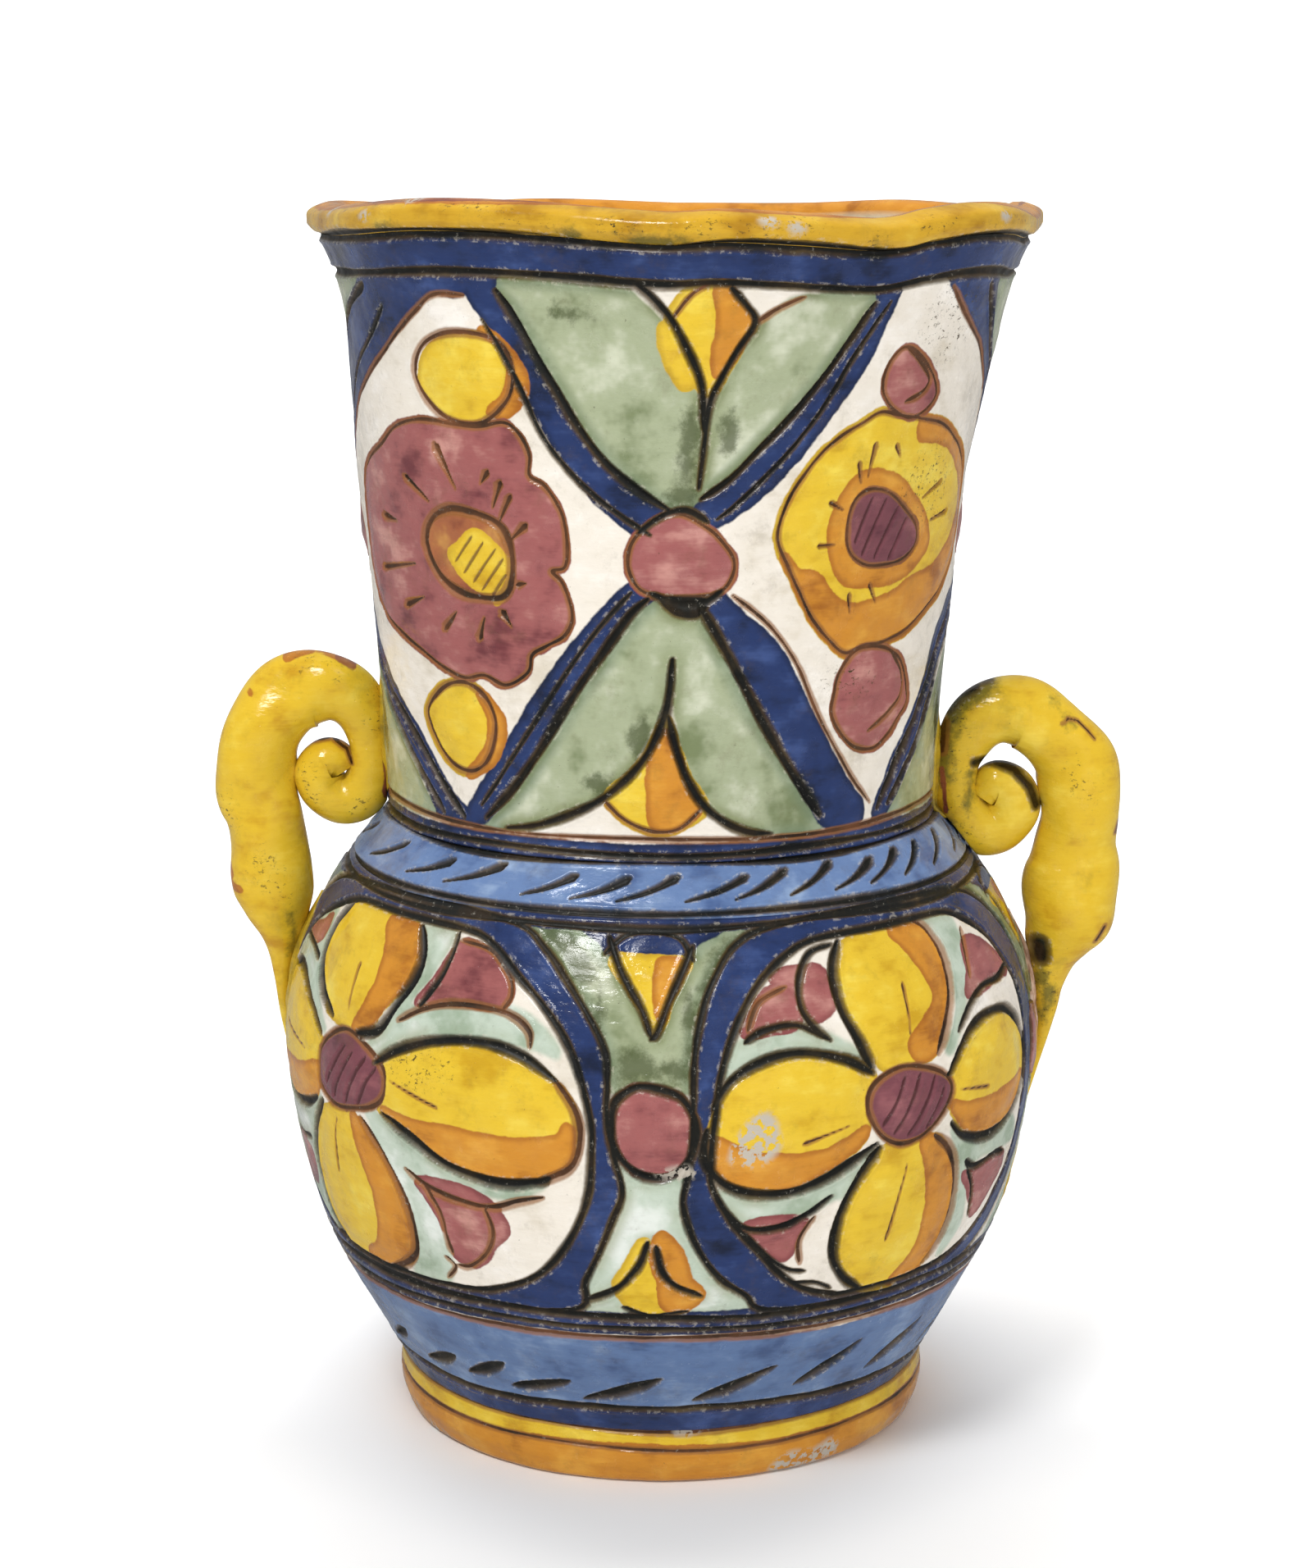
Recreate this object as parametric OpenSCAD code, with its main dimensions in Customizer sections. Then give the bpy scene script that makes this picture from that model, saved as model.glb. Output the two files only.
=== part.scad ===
// Talavera-style pottery vase, as the clay pieces that a potter lutes together.
// A turned foot and a round belly carry a shoulder coil, a tall flared neck with a
// pinched, wavy lip, and two rolled clay handles bent into scrolls.
// Millimetres, +Z up. The origin is the middle of the foot ring's underside, and the
// painted front faces -Y, so the handles lie along -X and +X.

/* [Foot] */
// Height of the foot ring
foot_h = 12; // [10:0.5:13]
// Outer radius of the foot ring at its widest
foot_r = 57.2; // [54:0.2:60]
// Width of the foot ring from its inner to its outer side
foot_w = 12; // [9:0.5:15]

/* [Belly] */
// Largest radius of the belly
belly_r = 80.2; // [78:0.2:82]
// Height of the belly above the foot ring
belly_h = 109.5; // [107:0.5:112]
// Wall thickness of the belly
belly_wall = 7.2; // [6:0.2:8]
// Thickness of the floor
floor_t = 8; // [6:0.5:10]

/* [Shoulder] */
// Height of the coil between the belly and the neck
collar_h = 9.5; // [8:0.5:11]
// How far the coil swells past a straight slope
collar_swell = 0.5; // [0:0.1:1]

/* [Neck] */
// Outer radius where the neck leaves the shoulder
waist_r = 58; // [57:0.2:59]
// Outer radius at the top of the neck
flare_r = 74.2; // [72:0.2:76]
// Height of the neck without its lip
neck_h = 120.5; // [116:0.5:124]
// Wall thickness of the neck
neck_wall = 7; // [6:0.2:8]
// How far the whole mouth leans towards +X
lean_x = 3.3; // [0:0.1:4]

/* [Lip] */
// Height of the rounded lip
lip_h = 6.5; // [6:0.5:8]
// Number of waves pinched round the lip
waves = 7; // [5:1:9]
// How far the waves push the lip in and out
wave_out = 1.7; // [0:0.1:2.5]
// How far the waves lift and drop the lip
wave_up = 1.2; // [0:0.1:2]

/* [Handles] */
// Scale of the rolled clay's thickness, where 1 is as made
roll = 1; // [0.9:0.01:1.02]
// Thickness of the clay pads under the handle ends
pad_t = 1; // [0.6:0.1:1.4]

/* [Hidden] */
$fn = 120;

// Heights of the joints between the turned pieces
belly_top = foot_h + belly_h;
collar_top = belly_top + collar_h;
neck_top = collar_top + neck_h;

// How far the foot ring draws in where it meets the belly
foot_pinch = 0.4;

// Luting joints: a tongue on the lower piece sits in a groove of the upper one
tongue_h = 2;
tongue_w = 2.6;
tongue_gap = 0.2;

// Samples round the neck and lip, a multiple of the number of waves
around = 12 * waves;
// Direction of the first outward wave, in degrees from the front
wave_turn = 3;
// The waves grow over this share of the neck, from below, up to its top
wave_start = 0.78;
// The neck stands straight over this share, and leans above it
lean_start = 0.5;

// Each outline is a list of [share of the height, share of the way between two radii]
belly_shape = [[0, 0], [0.04, 0.09], [0.11, 0.27], [0.2, 0.5], [0.3, 0.71], [0.42, 0.87],
               [0.55, 0.98], [0.66, 1], [0.79, 0.91], [0.9, 0.7], [0.97, 0.51], [1, 0.4]];
neck_shape = [[0, 0.01], [0.04, 0], [0.2, 0.06], [0.33, 0.13], [0.5, 0.25], [0.66, 0.4],
              [0.78, 0.52], [0.86, 0.62], [0.94, 0.79], [1, 1]];

// Handle paths from the tail to the tip of the curl, as [distance out from the waist,
// height above the shoulder, thickness of the roll]
left_path = [[23.4, -52, 1.4], [23.6, -45, 2.2], [23.7, -38, 3.6], [23.8, -33, 5.6], [24.1, -28.5, 9.2],
             [24.6, -24, 14], [25, -19.5, 17.6], [25.9, -14.5, 18.8], [26.6, -8.5, 17.8],
             [27.3, -2.5, 17.2], [28.6, 3.5, 17.8], [28.4, 10.5, 17.8], [25.8, 17.4, 17.2],
             [21.2, 23, 16.6], [15.4, 25.2, 15.8], [9.4, 23.4, 14], [5.2, 18.8, 11.4], [3.5, 13, 8.8],
             [3.8, 7.2, 9], [6, 2.4, 9.2], [10.2, 0.6, 9.2], [14, 2.6, 8.8], [15.4, 6.6, 7.6],
             [14, 9.8, 6], [11.4, 10.4, 4.2], [10.2, 8.8, 2.8]];
right_path = [[23.6, -58, 1.5], [24.4, -52, 2.8], [25.2, -45.5, 4.4], [25.5, -40, 6.2], [26.4, -35, 9.8],
              [27.6, -30.5, 15], [29, -25.5, 19.4], [30, -20, 21], [30.9, -14, 20.2], [31, -8.5, 18.2],
              [31.7, -3, 18], [31.9, 3, 18.6], [31, 8, 18.6], [28.6, 12.4, 17.4], [24.4, 16.6, 16.4],
              [19, 19.6, 15.8], [13, 19.2, 14.6], [8, 15.8, 12.4], [4.8, 10, 9.6], [4.4, 3.6, 9.2],
              [6.2, -1.8, 9.4], [10, -5.4, 9.2], [14.4, -5, 8.8], [17, -1.4, 8.2], [16.8, 2.6, 7],
              [14.2, 4.8, 5.4], [11.8, 3.8, 3.8], [11.2, 2, 2.6]];
// Rings per stretch of a handle path, and sides of the roll
path_steps = 3;
roll_sides = 14;

// Pads under the handle ends, as [height of the middle above the shoulder, half width,
// half height]
left_upper_spot = [15, 6.6, 13];
left_lower_spot = [-37, 6.4, 16.5];
right_upper_spot = [8, 6.6, 12];
right_lower_spot = [-42, 6.6, 17.5];
pad_edge = 0.35;
pad_rings = 5;
pad_sides = 24;

white_glaze = "#ece7de";
navy_glaze = "#1f3f86";
sky_glaze = "#5f8fd0";
yellow_glaze = "#e8cc1e";
orange_glaze = "#df8a1a";
bare_clay = "#c9a68c";

// ---- Curves ----

function mix(a, b, t) = a + (b - a) * t;
function ease(t) = let(u = min(max(t, 0), 1)) u * u * (3 - 2 * u);

function hermite(a, b, slope_a, slope_b, t) =
    a * (2 * t * t * t - 3 * t * t + 1) + b * (3 * t * t - 2 * t * t * t)
    + slope_a * (t * t * t - 2 * t * t + t) + slope_b * (t * t * t - t * t);

// Value at x of a smooth curve through pts, a list of [x, y] with x rising
function slope(pts, i) =
    let(a = pts[max(i - 1, 0)], b = pts[min(i + 1, len(pts) - 1)])
    (b[1] - a[1]) / (b[0] - a[0]);
function stretch(pts, x, i = 0) =
    i >= len(pts) - 2 || x < pts[i + 1][0] ? i : stretch(pts, x, i + 1);
function smooth(pts, x) =
    let(i = stretch(pts, x), a = pts[i], b = pts[i + 1], w = b[0] - a[0])
    hermite(a[1], b[1], w * slope(pts, i), w * slope(pts, i + 1), (x - a[0]) / w);

// Point at u on a smooth path through pts, where u counts the points
function path_slope(pts, i) = (pts[min(i + 1, len(pts) - 1)] - pts[max(i - 1, 0)]) / 2;
function along(pts, u) =
    let(i = min(max(floor(u), 0), len(pts) - 2))
    hermite(pts[i], pts[i + 1], path_slope(pts, i), path_slope(pts, i + 1), u - i);

// ---- Outer outline of the turned pieces ----

function belly_out(z) = mix(foot_r - foot_pinch, belly_r, smooth(belly_shape, (z - foot_h) / belly_h));
function collar_out(z) =
    let(t = (z - belly_top) / collar_h)
    mix(belly_out(belly_top), neck_out(collar_top), t) + collar_swell * 4 * t * (1 - t);
function neck_out(z) = mix(waist_r, flare_r, smooth(neck_shape, (z - collar_top) / neck_h));
function body_out(z) =
    z < belly_top ? belly_out(z) : z < collar_top ? collar_out(z) : neck_out(z);

// A point on or near the vase: a degrees round from the front, at radius r and height z
function round_point(a, r, z) = [r * sin(a), -r * cos(a), z];

// The same on the neck and lip, which lean and carry the waves
function leaning(z) = lean_x * ease((z - collar_top - lean_start * neck_h) / neck_h / (1 - lean_start));
function waving(z) = ease((z - collar_top - wave_start * neck_h) / neck_h / (1 - wave_start));
function mouth_point(a, r, z) =
    let(w = cos(waves * (a - wave_turn)) * waving(z))
    [leaning(z), 0, wave_up * w] + round_point(a, r + wave_out * w, z);

// ---- Skins ----

function ring_sides(i, j, n, k) =
    let(a = i * n + k, b = i * n + (k + 1) % n, c = j * n + (k + 1) % n, d = j * n + k)
    [[a, b, c], [a, c, d]];

// A solid ring: every entry of loops is a closed section, and the last meets the first
module ring_skin(loops) {
    n = len(loops[0]);
    m = len(loops);
    polyhedron(points = [for (l = loops) each l],
               faces = [for (i = [0:m - 1], k = [0:n - 1]) each ring_sides(i, (i + 1) % m, n, k)]);
}

// A solid spindle: sections from one end to the other, closed at a tip point on each end
module spindle_skin(loops, first_tip, last_tip) {
    n = len(loops[0]);
    m = len(loops);
    first = n * m;
    last = n * m + 1;
    polyhedron(points = [for (l = loops) each l, first_tip, last_tip],
               faces = [for (i = [0:m - 2], k = [0:n - 1]) each ring_sides(i, i + 1, n, k),
                        for (k = [0:n - 1]) [first, (k + 1) % n, k],
                        for (k = [0:n - 1]) [last, (m - 1) * n + k, (m - 1) * n + (k + 1) % n]]);
}

// ---- Turned pieces ----

// A square-edged ring, used for the tongues and the grooves they sit in
module flat_ring(r, w, z, h) {
    translate([0, 0, z])
        difference() {
            cylinder(r = r + w / 2, h = h);
            translate([0, 0, -1]) cylinder(r = r - w / 2, h = h + 2);
        }
}

// Radii of the tongues' middles, under the belly, the collar and the neck
foot_tongue_r = foot_r - foot_w / 2;
belly_tongue_r = belly_out(belly_top) - belly_wall / 2;
neck_tongue_r = waist_r - neck_wall / 2;

module foot_ring() {
    edge = 2.2;
    color(orange_glaze) {
        rotate_extrude()
            polygon([[foot_r - foot_w, foot_h], [foot_r - foot_w, edge],
                     for (a = [180:15:270]) [foot_r - foot_w + edge + edge * cos(a), edge + edge * sin(a)],
                     for (a = [270:15:345]) [foot_r - 1 - edge + edge * cos(a), edge + edge * sin(a)],
                     [foot_r, foot_h * 0.5], [foot_r - foot_pinch, foot_h]]);
        flat_ring(foot_tongue_r, tongue_w, foot_h, tongue_h);
    }
}

// Inside of the belly: a flat floor that turns up into a wall of even thickness
module belly_hollow() {
    floor_z = foot_h + floor_t;
    turn_r = belly_out(floor_z + floor_t) - belly_wall;
    rotate_extrude()
        polygon([[0, floor_z], [turn_r * 0.7, floor_z], [turn_r * 0.9, floor_z + floor_t * 0.3],
                 for (z = [floor_z + floor_t:4:belly_top - 2]) [belly_out(z) - belly_wall, z],
                 [belly_out(belly_top) - belly_wall, belly_top],
                 [belly_out(belly_top) - belly_wall, belly_top + 1], [0, belly_top + 1]]);
}

module belly() {
    color(white_glaze) {
        difference() {
            rotate_extrude()
                polygon([[0, foot_h], for (i = [0:40]) let(z = foot_h + belly_h * i / 40) [belly_out(z), z],
                         [0, belly_top]]);
            belly_hollow();
            flat_ring(foot_tongue_r, tongue_w + 2 * tongue_gap, foot_h - 1, tongue_h + tongue_gap + 1);
        }
        flat_ring(belly_tongue_r, tongue_w, belly_top, tongue_h);
    }
}

module shoulder_collar() {
    color(sky_glaze) {
        difference() {
            rotate_extrude()
                polygon([for (i = [0:8]) let(z = belly_top + collar_h * i / 8) [collar_out(z), z],
                         for (i = [8:-1:0]) let(z = belly_top + collar_h * i / 8)
                             [mix(belly_out(belly_top) - belly_wall, waist_r - neck_wall, i / 8), z]]);
            flat_ring(belly_tongue_r, tongue_w + 2 * tongue_gap, belly_top - 1, tongue_h + tongue_gap + 1);
        }
        flat_ring(neck_tongue_r, tongue_w, collar_top, tongue_h);
    }
}

// Upright section of the neck's wall as [radius, height], with the groove in its foot
function neck_section() =
    let(out = [for (i = [0:18]) let(z = collar_top + neck_h * i / 18) [neck_out(z), z]],
        in = [for (i = [14:-1:0]) let(z = collar_top + neck_h * i / 14) [neck_out(z) - neck_wall, z]],
        w = tongue_w / 2 + tongue_gap,
        top = collar_top + tongue_h + tongue_gap)
    [each out, each in, [neck_tongue_r - w, collar_top], [neck_tongue_r - w, top],
     [neck_tongue_r + w, top], [neck_tongue_r + w, collar_top]];

module neck() {
    color(navy_glaze)
        ring_skin([for (i = [0:around - 1]) let(a = 360 * i / around)
                       [for (p = neck_section()) mouth_point(a, p[0], p[1])]]);
}

// The lip sits on the neck's top edge and swells a little past both its sides
function lip_section() =
    let(in = flare_r - neck_wall, mid = flare_r - neck_wall / 2, half = neck_wall / 2 + 1.4)
    [[in, neck_top], [flare_r, neck_top],
     for (a = [-10:20:190]) [mid + 0.4 + half * cos(a), neck_top + lip_h * (0.45 + 0.55 * sin(a))]];

module rim_coil() {
    color(yellow_glaze)
        ring_skin([for (i = [0:around - 1]) let(a = 360 * i / around)
                       [for (p = lip_section()) mouth_point(a, p[0], p[1])]]);
}

// ---- Handles ----

// Pushes a point straight out until it is clear of the body and of the pads on it
function clear_of_body(p) =
    let(r = norm([p[0], p[1]]), least = body_out(p[2]) + pad_t)
    r < least ? [p[0] * least / r, p[1] * least / r, p[2]] : p;

// Section of the roll at u along the path: the path lies in the XZ plane
function roll_ring(path, side, u) =
    let(c = along(path, u), d = along(path, u + 0.02) - along(path, u - 0.02),
        s = norm([d[0], d[1]]), out = [d[1], -d[0]] / s, r = roll * c[2] / 2)
    [for (k = [0:roll_sides - 1]) let(a = 360 * k / roll_sides)
        clear_of_body([side * (waist_r + c[0] + r * cos(a) * out[0]), side * r * sin(a),
                       collar_top + c[1] + r * cos(a) * out[1]])];

// One rolled handle: side is -1 on the left and 1 on the right
module handle(path, side) {
    last = len(path) - 1;
    tail = path[0];
    tip = path[last];
    color(yellow_glaze)
        spindle_skin([for (i = [0:path_steps * last]) roll_ring(path, side, i / path_steps)],
                     clear_of_body([side * (waist_r + tail[0]), 0, collar_top + tail[1] - tail[2] / 2]),
                     [side * (waist_r + tip[0] - tip[2] / 3), 0, collar_top + tip[1] - tip[2] / 3]);
}

// ---- Pads ----

function pad_point(side, spot, share, a, lift) =
    let(z = collar_top + spot[0] + share * spot[2] * sin(a), r = body_out(z) + lift)
    round_point(side * 90 + side * share * spot[1] * cos(a) / r * 180 / PI, r, z);
function pad_lift(share) = mix(pad_t, pad_edge, ease((share - 0.7) / 0.3));

// A thin clay pad on the body's surface, thickest in the middle and feathered at its edge
module pad(side, spot) {
    shares = [for (i = [1:pad_rings]) i / pad_rings];
    under = [for (s = shares) [for (k = [0:pad_sides - 1]) pad_point(side, spot, s, 360 * k / pad_sides, 0)]];
    over = [for (i = [pad_rings - 1:-1:0])
                [for (k = [0:pad_sides - 1])
                    pad_point(side, spot, shares[i], 360 * k / pad_sides, pad_lift(shares[i]))]];
    color(bare_clay)
        spindle_skin(concat(under, over), pad_point(side, spot, 0, 0, 0), pad_point(side, spot, 0, 0, pad_t));
}

module left_handle() { handle(left_path, -1); }
module right_handle() { handle(right_path, 1); }
module left_handle_upper_pad() { pad(-1, left_upper_spot); }
module left_handle_lower_pad() { pad(-1, left_lower_spot); }
module right_handle_upper_pad() { pad(1, right_upper_spot); }
module right_handle_lower_pad() { pad(1, right_lower_spot); }

foot_ring();
belly();
shoulder_collar();
neck();
rim_coil();
left_handle();
right_handle();
left_handle_upper_pad();
left_handle_lower_pad();
right_handle_upper_pad();
right_handle_lower_pad();
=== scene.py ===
"""A carved, painted and glazed Talavera-style vase, built round its packed clay pieces.

Every turned piece is a fine grid of heights by angles. The decoration is a list of curves on
that grid, in degrees from the front and millimetres of height: fills carry a colour, and cuts
carry a groove and the dark colour lying in it. Each colour reaches its material as the
distance to the edge of its fills, so the brushed edges stay sharp.
"""
import math

import bpy
import numpy as np
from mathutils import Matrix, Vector


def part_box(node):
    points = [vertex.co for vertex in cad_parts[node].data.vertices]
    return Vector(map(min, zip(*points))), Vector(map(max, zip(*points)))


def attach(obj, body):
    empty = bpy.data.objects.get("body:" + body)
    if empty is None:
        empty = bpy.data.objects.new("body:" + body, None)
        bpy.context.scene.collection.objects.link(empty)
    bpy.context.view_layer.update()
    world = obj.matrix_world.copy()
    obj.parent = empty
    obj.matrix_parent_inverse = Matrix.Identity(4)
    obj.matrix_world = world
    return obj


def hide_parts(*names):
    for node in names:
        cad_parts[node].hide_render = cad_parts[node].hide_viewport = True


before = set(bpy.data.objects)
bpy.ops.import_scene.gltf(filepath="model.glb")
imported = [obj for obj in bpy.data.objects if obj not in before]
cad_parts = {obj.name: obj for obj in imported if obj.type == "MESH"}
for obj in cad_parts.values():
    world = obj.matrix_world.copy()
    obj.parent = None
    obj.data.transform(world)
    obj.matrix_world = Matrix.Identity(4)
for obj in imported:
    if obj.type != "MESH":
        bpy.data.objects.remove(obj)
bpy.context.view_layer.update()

MM = 0.001
FINE = 0.38          # spacing of the grid on the decorated walls, mm
COARSE = 3.0         # spacing of the rows on the walls inside
FAR = 4.0            # distance kept where a colour is nowhere near, mm
COLOURS = ("mint", "sky", "navy", "yellow", "orange", "pale", "mauve", "plum", "rust", "centre",
           "scratch", "brown", "black", "pool_and_shade", "speckle", "worn")


# ---- Sizes, from the frame ----

def low(node):
    """Lowest height of a CAD node, in mm."""
    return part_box(node)[0][2] / MM


def high(node):
    """Highest height of a CAD node, in mm."""
    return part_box(node)[1][2] / MM


# Made sizes in mm, as in the CAD part
FOOT_PINCH = 0.4     # how far the foot ring draws in where it meets the belly
FOOT_WIDTH = 12.0    # from the foot ring's inner to its outer side
BELLY_R = 80.2       # largest radius of the belly
BELLY_WALL = 7.2
NECK_WALL = 7.0
FLOOR_T = 8.0        # thickness of the floor
WAIST_R = 58.0       # where the neck leaves the shoulder
FLARE_R = 74.2       # at the top of the neck
PAD_T = 1.0          # thickness of the smears under the handle ends
# The pinched mouth
LEAN_X = 3.3         # how far it leans towards +X
LEAN_START = 0.5     # share of the neck that stands straight
WAVES = 7            # number of waves round it
WAVE_TURN = 3.0      # direction of the first outward wave, in degrees from the front
WAVE_OUT = 1.5       # how far the waves push it in and out
WAVE_UP = 1.2        # how far the CAD part's waves lift and drop it
WAVE_START = 0.78    # share of the neck below the waves
# Heights and radii measured on the frame
FOOT_R = (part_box("foot_ring")[1][0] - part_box("foot_ring")[0][0]) / 2 / MM
FOOT_TOP = low("belly")
BELLY_TOP = low("shoulder_collar")
COLLAR_TOP = low("neck")
NECK_TOP = low("rim_coil") + WAVE_UP
LIP_H = high("rim_coil") - WAVE_UP - NECK_TOP - 0.3

# Outlines: (share of the height, share of the way between two radii)
BELLY_SHAPE = [(0, 0), (0.04, 0.09), (0.11, 0.27), (0.2, 0.5), (0.3, 0.71), (0.42, 0.87),
               (0.55, 0.98), (0.66, 1), (0.79, 0.91), (0.9, 0.7), (0.97, 0.51), (1, 0.4)]
NECK_SHAPE = [(0, 0.01), (0.04, 0), (0.2, 0.06), (0.33, 0.13), (0.5, 0.25), (0.66, 0.4),
              (0.78, 0.52), (0.86, 0.62), (0.94, 0.79), (1, 1)]
# Rise and fall of the lip round the mouth: (degrees from the front, mm)
LIP_DRIFT = [(-180, -2.0), (-155, -1.0), (-130, -1.9), (-104, -0.4), (-76, -0.4), (-58, 0.4),
             (-40, 1.7), (-22, 1.2), (-2, -0.4), (6, 0.1), (18, -0.7), (31, -1.9), (36, -1.6),
             (41, -0.4), (51, 0.7), (62, 0.3), (73, -0.8), (90, -0.2), (112, -1.6), (135, -0.9),
             (158, -2.0), (180, -2.0)]


# ---- Curves and noise ----

def ease(t):
    """Smooth step from 0 to 1."""
    t = np.clip(t, 0, 1)
    return t * t * (3 - 2 * t)


def hermite(a, b, slope_a, slope_b, t):
    """Value at t, from 0 to 1, between a and b with the given slopes at the two ends."""
    return (a * (2 * t**3 - 3 * t**2 + 1) + b * (3 * t**2 - 2 * t**3)
            + slope_a * (t**3 - 2 * t**2 + t) + slope_b * (t**3 - t**2))


def smooth(points, x):
    """Value at x of a smooth curve through (x, y) points with x rising."""
    px = np.array([p[0] for p in points], float)
    py = np.array([p[1] for p in points], float)
    slope = np.empty_like(py)
    slope[1:-1] = (py[2:] - py[:-2]) / (px[2:] - px[:-2])
    slope[0] = (py[1] - py[0]) / (px[1] - px[0])
    slope[-1] = (py[-1] - py[-2]) / (px[-1] - px[-2])
    x = np.asarray(x, float)
    i = np.clip(np.searchsorted(px, x, side="right") - 1, 0, len(px) - 2)
    w = px[i + 1] - px[i]
    t = (x - px[i]) / w
    return hermite(py[i], py[i + 1], w * slope[i], w * slope[i + 1], t)


def rounded(points, closed, steps=6):
    """A smooth curve through points, with steps samples per stretch."""
    p = np.array(points, float)
    n = len(p)
    if n < 3:
        return p
    if closed:
        before, after = np.roll(p, 1, 0), np.roll(p, -1, 0)
        last = n
    else:
        before, after = np.vstack([p[:1], p[:-1]]), np.vstack([p[1:], p[-1:]])
        last = n - 1
    slope = (after - before) / 2
    t = (np.arange(steps) / steps)[:, None]
    out = []
    for i in range(last):
        j = (i + 1) % n
        out.append(hermite(p[i], p[j], slope[i], slope[j], t))
    if not closed:
        out.append(p[-1:])
    return np.vstack(out)


def lumps(angle, z, seed, size, waves=9):
    """Soft random hills of about the given size in mm, with no seam round the pot."""
    rng = np.random.default_rng(seed)
    turns = 2 * math.pi * 65 / size
    total = 0
    for _ in range(waves):
        m = round(rng.uniform(0.3, 1) * turns) * rng.choice([-1, 1])
        k = 2 * math.pi / size * rng.uniform(0.3, 1)
        total = total + np.cos(np.radians(angle) * m + z * k + rng.uniform(0, 2 * math.pi))
    return total / math.sqrt(waves)


# ---- The turned wall ----

def belly_out(z):
    """Outer radius of the belly at height z."""
    start = FOOT_R - FOOT_PINCH
    return start + (BELLY_R - start) * smooth(BELLY_SHAPE, (z - FOOT_TOP) / (BELLY_TOP - FOOT_TOP))


def neck_out(z):
    """Outer radius of the neck at height z."""
    return WAIST_R + (FLARE_R - WAIST_R) * smooth(NECK_SHAPE, (z - COLLAR_TOP) / (NECK_TOP - COLLAR_TOP))


def collar_out(z):
    """Outer radius of the shoulder coil at height z: a slope that swells in the middle."""
    t = (z - BELLY_TOP) / (COLLAR_TOP - BELLY_TOP)
    return belly_out(BELLY_TOP) * (1 - t) + neck_out(COLLAR_TOP) * t + 2.0 * t * (1 - t)


def body_out(z):
    """Radius of the whole pot at height z."""
    z = np.asarray(z, float)
    return np.where(z < BELLY_TOP, belly_out(z), np.where(z < COLLAR_TOP, collar_out(z), neck_out(z)))


def placed(angle, r, z):
    """Metres for points at angle, radius and height, with the mouth's lean and waves."""
    share = (z - COLLAR_TOP) / (NECK_TOP - COLLAR_TOP)
    lean = LEAN_X * ease((share - LEAN_START) / (1 - LEAN_START))
    wave = ease((share - WAVE_START) / (1 - WAVE_START))
    a = np.radians(angle)
    r = r + WAVE_OUT * wave * np.cos(WAVES * (a - math.radians(WAVE_TURN)))
    up = wave * smooth(LIP_DRIFT, (angle + 180) % 360 - 180)
    x = lean + r * np.sin(a)
    y = -r * np.cos(a)
    return np.stack(np.broadcast_arrays(x * MM, y * MM, (z + up) * MM), -1)


# ---- Painting and carving on the wall ----

def stroke(form, t):
    """Share of a cut's full width at each place t from its start to its end."""
    if form == "wedge":
        return (0.15 + 0.85 * (1 - t)) * np.minimum(1, 0.5 + 8 * t)
    if form == "leaf":
        return 0.12 + 0.88 * np.sin(np.pi * t) ** 0.8
    return np.minimum(1, np.minimum(0.5 + t * 7, 0.45 + (1 - t) * 5))


def groove_distance(d, half):
    """-1 in the middle of a groove, 0 at its edge, and mm beyond it."""
    return np.where(d < half, d / np.maximum(half, 0.05) - 1, d - half)


def halfway(a, b, drop=0.0):
    """The point between two points, lowered by drop."""
    return ((a[0] + b[0]) / 2, (a[1] + b[1]) / 2 - drop)


def blob(a, z, wide, tall):
    """Four points of an oval spot."""
    return [(a - wide, z), (a, z + tall), (a + wide, z), (a, z - tall)]


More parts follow.
